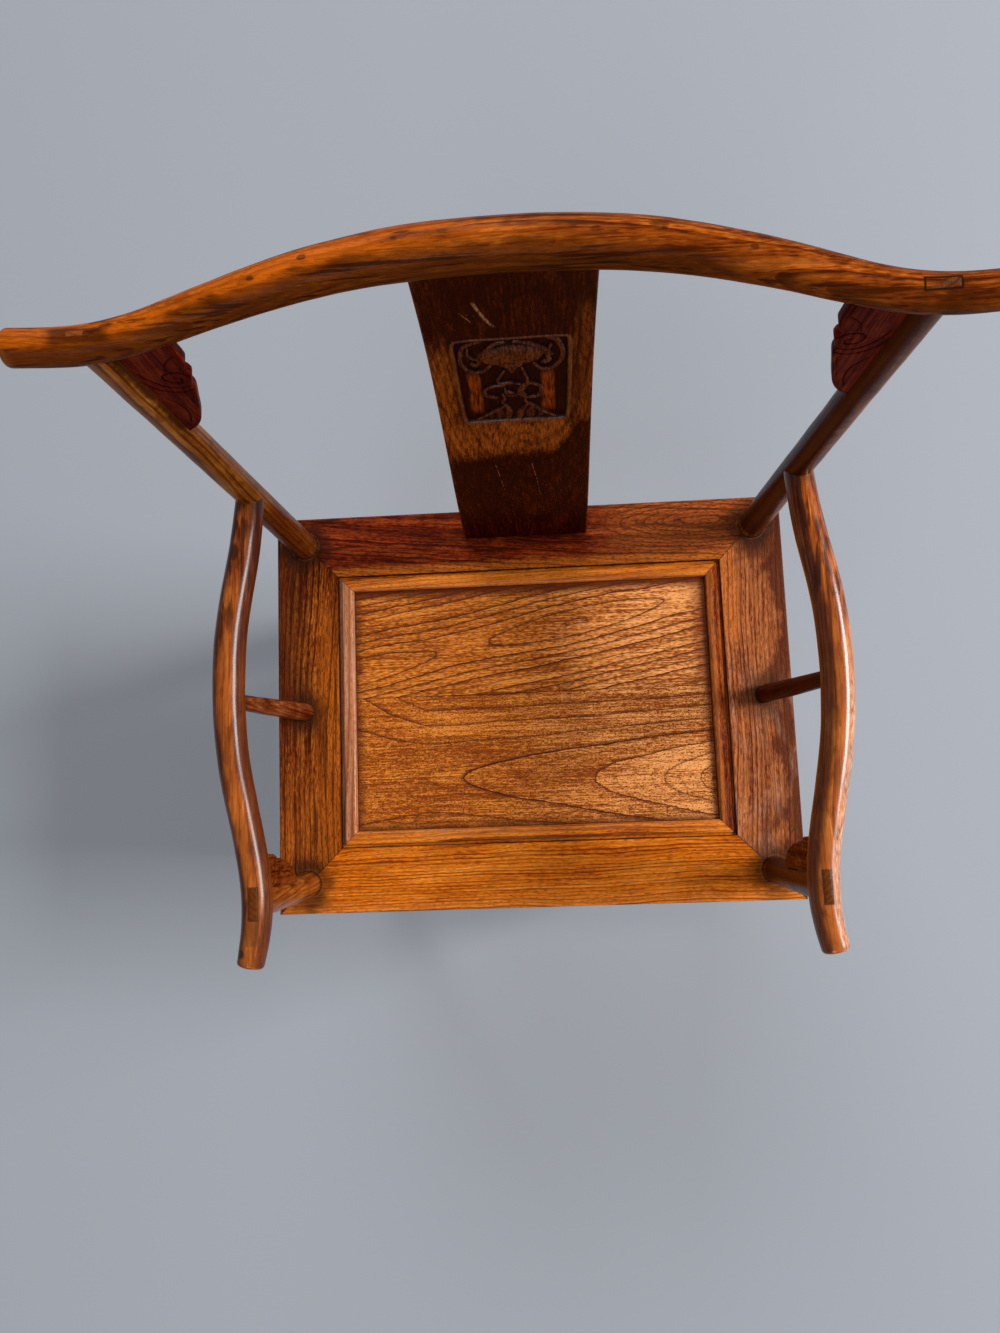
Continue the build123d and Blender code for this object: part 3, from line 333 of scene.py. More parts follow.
def leg_stains(finish, x, y, z):
    """Dirt at the floor, dirt and painted shade at the seat, blotches and a darker low left stile, painted
    shade on the right stile's inner side and on the left stile by the spandrel, a painted highlight on the
    right stile's outer side, and end grain at the top.
    """
    ragged = finish.patch(9, 9, 9, 2)
    foot = (z + ragged * 30).step(40, 6)
    # seat: dirt and painted shade where the leg meets the seat
    seat = (abs(z - SEAT) + ragged * 8).step(10, 1)
    left, right, stile = x.step(1, 0), x.step(0, 1), z.step(SEAT, SEAT + 20)
    # inner: painted shade on the right stile's side turned from the window
    inner = (finish.to_x * -1 + ragged * 0.8).step(-0.5, 0.25) * right * stile
    blotch = (finish.patch(8, 8, 30, 4) + ragged * 0.3).step(0.02, 0.15) * stile
    # shade: painted shade on the left stile beside the crest spandrel
    shade = (finish.to_x + ragged * 0.6).step(0.45, 0.8) * left * (z + ragged * 30).step(900, 915)
    # painted highlight on the right stile's outer side, towards the window
    painted_highlight = (finish.to_x + ragged * 0.7).step(0.35, 0.85) * right * z.step(530, 640)
    low = (z + ragged * 40).step(715, 670) * z.step(SEAT, SEAT + 5) * left
    end = z.step(STILE_END, STILE_END + 2)
    rim = z.step(STILE_END + 6, STILE_END)
    return ((DIRT, foot * 0.7), (SOOT_AND_SHADE, seat * 0.75),
            ((0.07, 0.011, 0.0008), blotch * 0.55), ((0.085, 0.01, 0.0008), low * 0.65),
            ((0.5, 0.155, 0.016), painted_highlight * rim * 0.6), ((0.026, 0.002, 0.0004), inner * rim * 0.9),
            ((0.016, 0.003, 0.0006), shade * rim * 0.85), ((0.05, 0.014, 0.003), end * right * 0.7),
            ((0.2, 0.04, 0.003), end * x.step(0, -1) * 0.8))


def make_leg(node, sign, radius, bend, top, spacing, tenon, material):
    """A leg: a straight pole under the seat, a bent one above it, and the end of the tenon on top."""
    back = 1 if top[1] > 0 else -1
    x, y = sign * LEG[0], back * LEG[1]
    below = [(x + sign * 5.5, y + back * 6, 0, 16.5), (x, y, SHOULDER, 17.5)]
    bend, top = [(sign * place[0], *place[1:]) for place in (bend, top)]
    above = [(x, y, SHOULDER, radius), (x, y, SEAT, radius), bend, top]
    around, uneven, foot_arris = 40, 0.25, 1.6
    rings = (rings_round(ease_ends(smooth_line(below, 8), foot_arris, 0), around, uneven)
             + rings_round(smooth_line(above, spacing), around, uneven))
    make_piece(node + "_pole", node, [skin(rings), tenon_end(top[:3], *tenon)], material)


OLIVE_POLE = ((0.085, 0.018, 0.0014), (0.23, 0.066, 0.0065), (0.46, 0.175, 0.032))
RED_POLE = ((0.07, 0.012, 0.001), (0.21, 0.048, 0.0045), (0.48, 0.15, 0.02))
for side, sign in SIDES:
    material = pole_finish(f"waxed_elm_{side}_rear_leg", run=2, heart=(sign * 240, 236), ring=4.2,
                           seed=3.1 + sign, woods=RED_POLE if sign > 0 else OLIVE_POLE, stains=leg_stains,
                           sheen=0.07, coat=0.08)
    make_leg(f"{side}_rear_leg", sign, 15.2, (LEG[0] - 3.26, LEG[1] - 3.51, 770, 13.5), (*STILE_TOP, 12.1), 7,
             ((1, 0, 0), 12.2, *CREST_TENON, 0.2), material)

# ---- front legs ----
# The front legs are poles of the same elm, from the floor to the arms. Above
# the seat they swing inwards and back, and each ends in a long flat tenon that
# shows on top of its arm.
POST_TOP = (255.5, -191.5, 723)
POST_END = 733      # above this the tenon's end grain shows on the arm


def post_stains(finish, x, y, z):
    """Dirt at the foot, dirt and painted shade at the seat, a dark right post, and the dark end grain on top
    of the arm.
    """
    ragged = finish.patch(9, 9, 9, 2)
    foot = (z + ragged * 30).step(40, 6)
    # seat: dirt and painted shade where the post meets the seat
    seat = (abs(z - SEAT) + ragged * 8).step(12, 1)
    right = x.step(0, 1) * (z - SEAT).step(0, 20) * z.step(POST_END, POST_END - 1)
    end = z.step(POST_END, POST_END + 2)
    return ((DIRT, foot * 0.7), (SOOT_AND_SHADE, seat * 0.75), ((0.034, 0.003, 0.0004), right * 0.9),
            ((0.085, 0.022, 0.004), end * 0.8))


POST = ((0.075, 0.012, 0.001), (0.25, 0.058, 0.006), (0.47, 0.15, 0.026))
for side, sign in SIDES:
    material = pole_finish(f"waxed_elm_{side}_front_leg", run=2, heart=(sign * 238, -170), ring=4.4,
                           seed=5.7 + sign, woods=POST, stains=post_stains, sheen=0.06, coat=0.05)
    make_leg(f"{side}_front_leg", sign, 14.5, (LEG[0] - 3, 2 - LEG[1], 610, 13.8), (*POST_TOP, 13.9), 6,
             ((0, 1, 0), 14, *ARM_TENON, 0.2), material)

# ---- stretchers and footrest ----
# Four stretchers are tenoned into the legs: the footrest in front, wide and
# worn pale where feet rest, one on each side, and one higher at the back.


def lay_finish(node, width, material):
    """Break a CAD node's sharp edges, as a plane and wear do, and give it its finish."""
    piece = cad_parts[node]
    piece.modifiers.new("weld", "WELD").merge_threshold = 0.02 * MM
    bevel = piece.modifiers.new("arris", "BEVEL")
    bevel.width = width * MM
    bevel.segments = 2
    bevel.limit_method = "ANGLE"
    bevel.angle_limit = math.radians(32)
    bevel.use_clamp_overlap = True
    piece.modifiers.new("faces", "WEIGHTED_NORMAL").keep_sharp = True
    piece.data.materials.clear()
    piece.data.materials.append(material)


def plank_finish(name, run, heart, ring, seed, woods, line, stains, gloss=0.38, sheen=0.12, coarse=0.42):
    """Waxed flat elm: rings cut by the plane, pores, and the stains of its own place."""
    finish = Finish(name)
    axes = list(finish.place)
    u = axes.pop(run)
    v, w = axes[0] - heart[0] - u * heart[2], axes[1] - heart[1]
    elm = Elm(finish, u, v, w, ring, seed, coarse)
    colour = finish.shade(woods, elm.tone)
    for over, share in stains(finish, *finish.place):
        colour = finish.paint(colour, over, share * (0.55 + elm.tone * 0.6).least(1))
    thread = (elm.fibre + elm.streak * 0.4 + elm.fleck * 0.3).step(0.06, 0.22)
    colour = finish.paint(colour, line, (elm.line * 0.7).most(elm.pore).most(thread * 0.65))
    worn = finish.patch(22, 22, 22, 3)
    rough = gloss + elm.pore * 0.3 + worn * 0.22
    height = worn * 0.18 - elm.line * 0.06 - elm.pore * 0.2 - thread * 0.03
    return finish.close(colour, rough, height, sheen, 0.06)


def footrest_stains(finish, x, y, z):
    """Bare pale wood on top where feet rest, dirt near the legs."""
    ragged = finish.patch(40, 12, 12, 3)
    worn = (z + ragged * 6).step(80, 84.5) * abs(x + ragged * 60).step(225, 120)
    ends = abs(x).step(238, 256)
    return ((0.4, 0.2, 0.085), worn * 0.6), (DIRT, ends * 0.6)


def stretcher_stains(finish, x, y, z):
    """Dirt in the corners at the legs."""
    across = abs(x).step(236, 254) * abs(y).step(176, 184)
    return ((DIRT, across * 0.7),)


STRETCHER = ((0.07, 0.014, 0.0025), (0.165, 0.04, 0.007), (0.3, 0.095, 0.02))
STRETCHER_LINE = (0.022, 0.006, 0.0015)
for node, kind, width, run, heart, seed, stains in (
        ("footrest", "worn", 1.2, 0, (-140, 30, 0.03), 1.3, footrest_stains),
        ("rear_stretcher", "waxed", 0.8, 0, (150, 120, 0.02), 2.6, stretcher_stains),
        ("left_stretcher", "waxed", 0.8, 1, (-230, 90, 0.02), 3.4, stretcher_stains),
        ("right_stretcher", "waxed", 0.8, 1, (230, 90, 0.02), 5.4, stretcher_stains)):
    material = plank_finish(f"{kind}_elm_{node}", run, heart, 4, seed, STRETCHER, STRETCHER_LINE, stains)
    lay_finish(node, width, material)

# ---- aprons ----
# Thin sawn aprons are tongued into the legs under the seat, with a cusp at
# each end, and run down the legs as narrow uprights. They see little light or
# wear, so the old stain on them is even and red.


def apron_stains(finish, x, y, z):
    """Darker towards the top, up under the seat frame."""
    ragged = finish.patch(25, 25, 12, 2)
    return (((0.022, 0.008, 0.004), (z + ragged * 20).step(448, 470) * 0.6),)


APRON = ((0.055, 0.009, 0.0015), (0.135, 0.028, 0.0045), (0.24, 0.062, 0.011))
for kind, run, heart, seed, nodes in (
        ("aprons_across", 0, (-120, 380, 0.02), 7.7, ("front_apron", "rear_apron", "footrest_apron")),
        ("aprons_sides", 1, (180, 380, 0.02), 8.2, ("left_apron", "right_apron")),
        ("apron_uprights", 2, (190, -150, 0.02), 9.9,
         ("front_apron_left_side", "front_apron_right_side", "left_apron_front_side",
          "left_apron_rear_side", "right_apron_front_side", "right_apron_rear_side"))):
    material = plank_finish("stained_elm_" + kind, run, heart, 4.6, seed,
                            APRON, STRETCHER_LINE, apron_stains, 0.42)
    for node in nodes:
        lay_finish(node, 0.7, material)

# ---- seat frame ----
# Four wide rails of elm, mitred at the corners, make the seat frame. The front
# rail is polished by use and the rear one is dark under old wax; dirt has
# gathered in the mitres, and dirt with painted shade darkens the rails round
# the posts and in the sunk line by the bead.
HALF_SEAT = (300, 233.5)
QUIRK = (72.6, 73.6, 75.8, 77)      # walls of the sunk line, in from the frame's outer edge
POST_INSET, SIDE_INSET = 34, 33     # middles of the posts, in from the outer edge
POST_HOLE = 16.6


def rail_dirt(x, y, z, ragged):
    """Dark mitres, dirt and painted shade in the sunk line and round the posts, and darker undersides, as on
    every rail.
    """
    across, back = HALF_SEAT[0] - abs(x), HALF_SEAT[1] - abs(y)
    inset = across.least(back)
    # the sunk line: dirt and painted shade in the groove
    quirk_dirt_and_shade = inset.step(QUIRK[0], QUIRK[1]) * inset.step(QUIRK[3], QUIRK[2]) * z.step(486, 488)
    mitre = abs(across - back).step(1.3, 0.3) * z.step(499, 499.8)
    from_post = ((across - POST_INSET) ** 2 + (back - POST_INSET) ** 2) ** 0.5
    # round the posts and the side posts: dirt and painted shade
    grime_and_shade = (from_post + ragged * 22).step(40, 18)
    rim = abs(from_post - POST_HOLE - ragged * 1.5).step(1.1, 0.2) * z.step(499.2, 499.9)
    from_side = ((across - SIDE_INSET) ** 2 + (y + 1) ** 2) ** 0.5
    soot_and_shade = (from_side + ragged * 26).step(38, 9)
    under = z.step(478, 470)
    return (((0.016, 0.006, 0.0028), grime_and_shade * 0.85), ((0.016, 0.006, 0.0028), soot_and_shade * 0.85),
            ((0.02, 0.006, 0.002), mitre * 0.9), ((0.012, 0.003, 0.0005), quirk_dirt_and_shade * 1.6),
            ((0.23, 0.13, 0.075), rim * 0.25), ((0.035, 0.014, 0.006), under * 0.5))


def front_stains(finish, x, y, z):
    """Bright outer edge where legs have rubbed, darker left end, dark pits."""
    ragged = finish.patch(12, 12, 12, 3)
    edge = (y + ragged * 14).step(-216, -231) * z.step(490, 499) * 0.8
    corner = (x + ragged * 90).step(-215, -290) * (y + ragged * 20).step(-205, -222) * 0.6
    pits = finish.patch(9, 2.2, 5, 1).step(0.2, 0.27) * 0.8
    return (((0.72, 0.21, 0.028), edge), ((0.19, 0.04, 0.004), corner), ((0.06, 0.014, 0.003), pits),
            *rail_dirt(x, y, z, ragged))


def rear_stains(finish, x, y, z):
    """Black streaks and ovals in old stain, and a rubbed strip beside the sunk line."""
    ragged = finish.patch(12, 12, 12, 3)
    blotch = finish.patch(26, 12, 12, 4).step(0, 0.16) * (x + ragged * 60).step(90, 20) * 0.5
    right = (x + ragged * 60).step(60, 140) * 0.7
    streaks = ((finish.patch(90, 5, 5, 3) + ragged * 0.25).step(0.03, 0.15)
               * (x + ragged * 60).step(110, 40) * 0.75)
    oval = (((x - 208) / 5.2) ** 2 + (y - 209) ** 2) ** 0.5 / 4.4 + ragged * 1.2
    ovals = (oval - oval.floor()).step(0.4, 0) * (x + ragged * 50).step(75, 120) * 0.95
    strip = (y + ragged * 9).step(174, 166) * 0.8
    return (((0.36, 0.052, 0.004), blotch), ((0.44, 0.108, 0.02), right), ((0.018, 0.002, 0.0005), streaks),
            ((0.05, 0.009, 0.0015), ovals), ((0.5, 0.125, 0.012), strip), *rail_dirt(x, y, z, ragged))


def left_stains(finish, x, y, z):
    """Dark outer half, a rubbed orange inner part, and dark streaks along the rail."""
    ragged = finish.patch(12, 12, 12, 3)
    inner = (x - ragged * 14).step(-266, -240) * (y + ragged * 80).step(170, 60) * 0.75
    lower = (y + ragged * 60).step(-40, -150) * 0.5
    outer = (x - ragged * 26).step(-250, -285) * (y + ragged * 90).step(-120, 40) * 0.7
    streaks = finish.patch(4.5, 90, 4.5, 3).step(0.03, 0.12) * 0.75
    return (((0.5, 0.115, 0.007), inner), ((0.4, 0.092, 0.007), lower), ((0.055, 0.009, 0.0012), outer),
            ((0.04, 0.007, 0.001), streaks), *rail_dirt(x, y, z, ragged))


def right_stains(finish, x, y, z):
    """Dark red smears towards the outer edge and the back, under a painted grey reflection of the window."""
    ragged = finish.patch(12, 12, 12, 3)
    rubbed = (x + ragged * 30).step(252, 238) * (y + ragged * 50).step(40, 90) * 0.6
    smear = (finish.patch(20, 36, 30, 4) + (x - 268) / 130).step(0.02, 0.18) * 0.85
    back = (y + ragged * 70).step(120, 180) * (x + ragged * 40).step(240, 262) * 0.85
    # a grey veil painted in as the window's reflection on the rail
    painted_reflection = finish.patch(11, 40, 12, 4).step(-0.05, 0.22) * (y + ragged * 50).step(60, 0) * 0.45
    return (((0.56, 0.14, 0.015), rubbed), ((0.062, 0.006, 0.0012), smear), ((0.06, 0.006, 0.001), back),
            ((0.5, 0.25, 0.15), painted_reflection), *rail_dirt(x, y, z, ragged))


RAIL_LINE = (0.024, 0.004, 0.0008)
rail_arris = 0.45
for side, run, heart, ring, seed, woods, line, stains, gloss, sheen, coarse in (
        ("front", 0, (-75, 440, 0.012), 3.6, 11.3,
         ((0.3, 0.05, 0.0012), (0.64, 0.15, 0.005), (0.9, 0.285, 0.032)), (0.09, 0.016, 0.0008),
         front_stains, 0.34, 0.07, 0.42),
        ("rear", 0, (212, 468, -0.1), 4.6, 12.9,
         ((0.046, 0.003, 0.0004), (0.16, 0.013, 0.001), (0.34, 0.055, 0.008)), RAIL_LINE,
         rear_stains, 0.36, 0.05, 0.6),
        ("left", 1, (-150, 430, 0.03), 5.6, 13.4,
         ((0.05, 0.005, 0.0004), (0.19, 0.03, 0.0016), (0.56, 0.155, 0.017)), RAIL_LINE,
         left_stains, 0.36, 0.06, 0.55),
        ("right", 1, (360, 440, 0.02), 4.4, 14.8,
         ((0.12, 0.018, 0.003), (0.36, 0.095, 0.023), (0.6, 0.195, 0.055)), (0.05, 0.009, 0.0015),
         right_stains, 0.4, 0.1, 0.5)):
    material = plank_finish(f"waxed_elm_{side}_rail", run, heart, ring, seed, woods, line, stains,
                            gloss, sheen, coarse)
    lay_finish(side + "_frame_rail", rail_arris, material)

# ---- battens ----
# Two dovetailed battens slide into the underside of the boards and keep them
# flat. Nobody sees them, so they are left as sawn.


def batten_stains(finish, x, y, z):
    """Old dust, thicker in patches."""
    dust = finish.patch(20, 40, 20, 3)
    return (((0.11, 0.085, 0.06), dust.step(-0.15, 0.3) * 0.5),)


BATTEN = ((0.13, 0.06, 0.024), (0.21, 0.105, 0.045), (0.32, 0.17, 0.08))
for side, sign in SIDES:
    material = plank_finish(f"bare_elm_{side}_batten", 1, (sign * 60, 440, 0.02), 5, 15.6 + sign,
                            BATTEN, (0.07, 0.03, 0.014), batten_stains, 0.62)
    lay_finish(f"{side}_batten", 0.5, material)

# ---- seat boards ----
# Two broad elm boards, glued along one joint, float in the frame a little
# below its face. They are cut close to the bark, so the rings make long
# tongues, and a century of sitting has worn the soft wood between them.
EYE = (208, 141.5)      # half the opening inside the bead strips


def board_finish(name, reach_of, seed, pit, worn):
    """A board with open pores of one length; reach_of counts its rings, worn tells how deep they are."""
    finish = Finish(name)
    x, y, z = finish.place
    sway = finish.cloud(x / 60 + seed, y / 26, seed, 1)
    shiver = finish.cloud(x / 12, y / 6, seed + 2, 1)
    reach, slope, fading = reach_of(finish, x + shiver * 3, y + sway * 5 + shiver * 1.2)
    elm = Elm(finish, x, y, z, 9, seed, 0.85, reach, slope)
    minor = reach * 3.6 + finish.cloud(x / 14, y / 4, seed + 5) * 0.5
    minor_age = minor - minor.floor()
    minor_line = minor_age.step(0.4, 0) * finish.chance(minor.floor()) * 0.6
    dash = finish.cloud(x / pit, y / 1.3, seed + 7, 1)
    speck = (dash + elm.early * 0.12 + minor_line * 0.08).step(0.05, 0.16)
    cast = finish.cloud(x / 85, y / 34, seed, 3)
    ragged = finish.cloud(x / 16, y / 16, seed, 3)
    tone = elm.tone + cast * 0.9 - dash * 1.5 - minor_line * 0.3 + 0.02
    # pale: the boards painted paler to the right, a painted sheen of the window
    pale = (x + ragged * 90).step(-60, 170)
    light = finish.paint((0.68, 0.215, 0.03), (0.8, 0.325, 0.1), pale)
    middle = finish.paint((0.42, 0.106, 0.008), (0.52, 0.175, 0.038), pale)
    inside = (EYE[0] - abs(x)).least(EYE[1] - abs(y))
    # rim: painted shade along the beads, where the boards lie below them
    rim = (inside + ragged * 12).step(13, 0)
    right = (x + ragged * 46).step(172, 208) * (y + ragged * 60).step(-20, 30)
    top = (y + ragged * 12 - (abs(x - 20) / 60)).step(126, 136)
    joint = abs(y - 13 - (x / 900)).step(1.1, 0.2)
    colour = finish.coats(finish.shade(((0.23, 0.044, 0.003), middle, light), tone), (
        ((0.1, 0.018, 0.0012), elm.early * fading * (0.35 + 0.4 * worn)),
        ((0.05, 0.009, 0.0008), (elm.line * fading * 1.2).least(1).most(minor_line * 0.4)),
        ((0.085, 0.015, 0.001), speck * (0.25 + 0.3 * worn)), ((0.12, 0.02, 0.004), right * 0.6),
        ((0.11, 0.016, 0.003), top * 0.75), ((0.075, 0.011, 0.0012), rim * 0.75),
        ((0.03, 0.006, 0.0012), joint * (0.3 + (x + ragged * 40).step(120, 205) * 0.6))))
    rough = 0.4 + speck * 0.22 + cast * 0.25
    height = cast * 0.5 - elm.line * 0.26 - speck * (0.12 + 0.16 * worn) + elm.fleck * 0.3 - elm.early * 0.14
    return finish.close(colour, rough, height, 0.14, 0.04)


def front_board_rings(finish, x, y):
    """Tongues open towards +X, drawn together into a neck at the left."""
    share = (203 - x) / 344
    swell = (1 - ((share - 0.5) * 2) ** 2).most(-0.6) * 0.12
    spread = 1 - (-125 - x).most(0) * 0.0052
    aside = (y + 85 + (x + 66) * 0.035) * spread
    fading = 1 - (-110 - x).step(0, 40) * abs(aside).step(24, 8)
    reach = ((aside * aside / 12.5 + ((share + swell) * 270).most(0)) ** 0.5) / 3.94
    return reach + 0.05, (aside * aside / 156 + 0.155) ** 0.5 / (reach * 15.5 + 1), fading


def rear_board_rings(finish, x, y):
    """Lines rise to the right round one long slender eye, and spread again at the left."""
    aside = y - 62 - (x + 116) * 0.19
    depth = ((x + 80) * (2 * math.pi / 270)).cosine() * 130 + 200
    reach = ((aside * aside + depth) ** 0.5) / 8.6
    return reach, (aside * aside + 1.4) ** 0.5 / (reach * 74 + 1), 1


lay_finish("front_seat_board", 0.3, board_finish("worn_elm_front_board", front_board_rings, 21, 2.4, 1))
lay_finish("rear_seat_board", 0.3, board_finish("worn_elm_rear_board", rear_board_rings, 27, 5, 0.25))

# ---- bead strips ----
# A thin bead strip with a rounded inner edge lies in a step of each rail and
# holds the boards in the eye. They are mitred and rubbed along the round: the
# front and rear ones are orange, the left one painted pale as a highlight of
# the window, and the right one dark red.


def bead_stains(finish, x, y, z):
    """Pale rubbed round, dark mitres, and the dark foot of the strip by the boards."""
    across, back = HALF_SEAT[0] - abs(x), HALF_SEAT[1] - abs(y)
    ragged = finish.patch(10, 10, 10, 3)
    inset = across.least(back)
    mitre = abs(across - back).step(1.1, 0.2)
    foot = (z + ragged * 1.5).step(496.2, 494.4)
    rubbed = (inset + ragged * 5).step(82, 88) * (z + ragged * 2).step(497, 499.6)
    return (((0.62, 0.19, 0.036), rubbed * 0.45), ((0.03, 0.008, 0.002), mitre * 0.6),
            ((0.04, 0.008, 0.002), foot * 0.7 * inset.step(80, 84)))


BEAD = ((0.25, 0.04, 0.0012), (0.6, 0.14, 0.005), (0.84, 0.25, 0.026))
# the left bead's pale colours paint in the window's highlight
PAINTED_HIGHLIGHT_BEAD = ((0.32, 0.09, 0.028), (0.48, 0.18, 0.085), (0.64, 0.32, 0.19))
RED_BEAD = ((0.04, 0.003, 0.0002), (0.18, 0.024, 0.0008), (0.56, 0.12, 0.004))
for node, run, heart, seed, woods in (("front_bead_strip", 0, (-120, 440, 0.01), 31, BEAD),
                                      ("rear_bead_strip", 0, (140, 478, 0.05), 32, BEAD),
                                      ("left_bead_strip", 1, (-190, 440, 0.01), 33, PAINTED_HIGHLIGHT_BEAD),
                                      ("right_bead_strip", 1, (190, 440, 0.01), 34, RED_BEAD)):
    lay_finish(node, 0.35, plank_finish("waxed_elm_" + node, run, heart, 3, seed, woods, (0.07, 0.013, 0.001),
                                        bead_stains, 0.3, 0.2))

# ---- side posts ----
# A thin tapering post under the middle of each arm stands in a round socket of
# the side rail and leans outwards. The left one is pale with use.
SIDE_POST = (267, -1)       # its middle where it leaves the rail


def side_post_stains(finish, x, y, z):
    """Dirt in the socket, and darker at the head under the arm."""
    ragged = finish.patch(7, 7, 7, 2)
    foot = (z + ragged * 8).step(514, 501)
    head = (z + ragged * 12).step(690, 706)
    return (GAP, foot * 0.8), ((0.02, 0.007, 0.003), head * 0.6)


for side, sign, sheen, coat, woods in (
        ("left", -1, 0.08, 0.08, ((0.045, 0.004, 0.0004), (0.15, 0.026, 0.004), (0.36, 0.125, 0.042))),
        ("right", 1, 0.03, 0, ((0.018, 0.001, 0.0002), (0.045, 0.003, 0.0004), (0.085, 0.008, 0.001)))):
    post = [(sign * SIDE_POST[0], SIDE_POST[1], 486, 10.2), (sign * SIDE_POST[0], SIDE_POST[1], SEAT, 10.2),
            (sign * 271, -2.4, 575, 9.5), (sign * 279, -5, 719, 7.6)]
    rings = rings_round(smooth_line(post, 5), around=36, uneven=0.2)
    material = pole_finish(f"waxed_elm_{side}_side_post", run=2, heart=(sign * 236, 20), ring=3.6,
                           seed=41 + sign, woods=woods, stains=side_post_stains, sheen=sheen, coat=coat)
    make_piece(f"{side}_side_post_spindle", f"{side}_side_post", [skin(rings)], material)

# ---- arms ----
# Each arm is a round bar sawn to a bow from a wide plank, so its lines run off
# the curve in long ovals. It ends in the stile behind and runs out past the
# front post, where the grip is rubbed bright; on the right arm the outer side
# there is paler, worn and partly a painted highlight.
ARM_REAR = (263.4, 196.7, 715)
ARM_BOW = ((0.16, 7.7, 14.3), (0.34, 20.3, 14.7), (0.52, 23.9, 15), (0.7, 18, 15), (0.85, 7, 14.6))


def arm_stains(finish, x, y, z):
    """Painted shade on the left arm's outer side, dark inner sides and streaks, the gap round the post's
    tenon, a knot, a patch, a chip, rubbed tops, and a paler outer side on the right arm, worn and partly a
    painted highlight.
    """
    ragged = finish.patch(14, 26, 14, 3)
    flame = (finish.patch(5, 60, 5, 3) + ragged * 0.3).step(0, 0.1)
    rear = (y + ragged * 60).step(30, 90)
    rubbed = (z + ragged * 10).step(722, 740) * (y + ragged * 60).step(150, 90)
    # outer: painted shade on the left arm's outer side, turned from the window
    outer = (x * finish.to_x / 270 + ragged * 0.7).step(0.3, 0.75) * x.step(0, -1)
    inner = (x * finish.to_x / -270 + ragged * 0.42).step(0.24, 0.62)
    mottle = (finish.patch(6, 22, 6, 4) + ragged * 0.3).step(0.02, 0.14)
    grain = finish.patch(1.5, 7, 1.5, 2)
    # pale: the right arm's outer side, worn and partly a painted highlight
    pale = ((finish.to_x + ragged * 0.5).step(0.15, 0.55) * x.step(0, 1)
            * (y + ragged * 60).step(70, -60) * (0.4 + grain * 2).most(0))
    inside = (abs(abs(x) - POST_TOP[0]) - ARM_TENON[1] / 2).most(abs(y - POST_TOP[1]) - ARM_TENON[0] / 2)
    gap = abs(inside - 0.35).step(0.75, 0.15) * z.step(731, 733)
    joint = (y + ragged * 10).step(166, 182)
    knot = ((x + 274) ** 2 + ((y - 136) * 0.55) ** 2 + ragged * 30).step(34, 8)
    patch = (abs(x + 257).step(6.5, 5.5) * abs(y + 218).step(11, 10)) * z.step(728, 730)
    chip = ((x + 268) ** 2 + (y + 235) ** 2 + ragged * 20).step(22, 8)
    return (((0.56, 0.17, 0.03), rubbed * 0.3), ((0.09, 0.009, 0.0005), mottle * 0.42),
            ((0.88, 0.6, 0.43), pale * 0.8), ((0.052, 0.005, 0.0005), outer * 0.85),
            ((0.05, 0.006, 0.0006), inner * 0.75), ((0.036, 0.004, 0.0005), flame * rear * 0.8),
            ((0.03, 0.006, 0.0015), knot * 0.85), ((0.15, 0.045, 0.01), patch * 0.5),
            ((0.02, 0.004, 0.001), chip * 0.85), (GAP, gap * 0.7), ((0.03, 0.009, 0.003), joint * 0.5))


ARM = ((0.08, 0.008, 0.0004), (0.29, 0.056, 0.0032), (0.6, 0.175, 0.024))
BRIGHT_ARM = ((0.1, 0.011, 0.0005), (0.4, 0.08, 0.0045), (0.8, 0.26, 0.045))
for side, sign in SIDES:
    arm = [(262, -248.5, 724, 12.3), (257.5, -224.5, 723.5, 13.3), (*POST_TOP, 14)]
    for share, out, radius in ARM_BOW:
        arm.append((POST_TOP[0] + share * (ARM_REAR[0] - POST_TOP[0]) + out,
                    POST_TOP[1] + share * (ARM_REAR[1] - POST_TOP[1]),
                    POST_TOP[2] + share * (ARM_REAR[2] - POST_TOP[2]), radius))
    arm.append((*ARM_REAR, 13.2))
    arm = [(sign * x, y, z, radius) for x, y, z, radius in arm]
    rings = rings_round(ease_ends(smooth_line(arm, 5), start=3.5, end=0), around=48, uneven=0.3)
    material = pole_finish(f"waxed_elm_{side}_arm", run=1, heart=(sign * 248, 690), ring=3.8, seed=51 + sign,
                           woods=BRIGHT_ARM if sign > 0 else ARM, stains=arm_stains, sheen=0.1,
                           coat=0.62 if sign > 0 else 0.34)
    make_piece(f"{side}_arm_bar", f"{side}_arm", [skin(rings)], material)

# ---- crest rail ----
# The crest rail is one bowed round bar, thickest in the middle. Both stiles
# come through it near its ends, which run out past them and are cut off square
# with a rounded edge.
CREST = ((0, 229.5, 1058, 16), (98.6, 224, 1054.8, 15), (186.8, 206.2, 1046.2, 13),
         (*STILE_TOP, 12.2), (314, 191.5, 1041, 12.2))


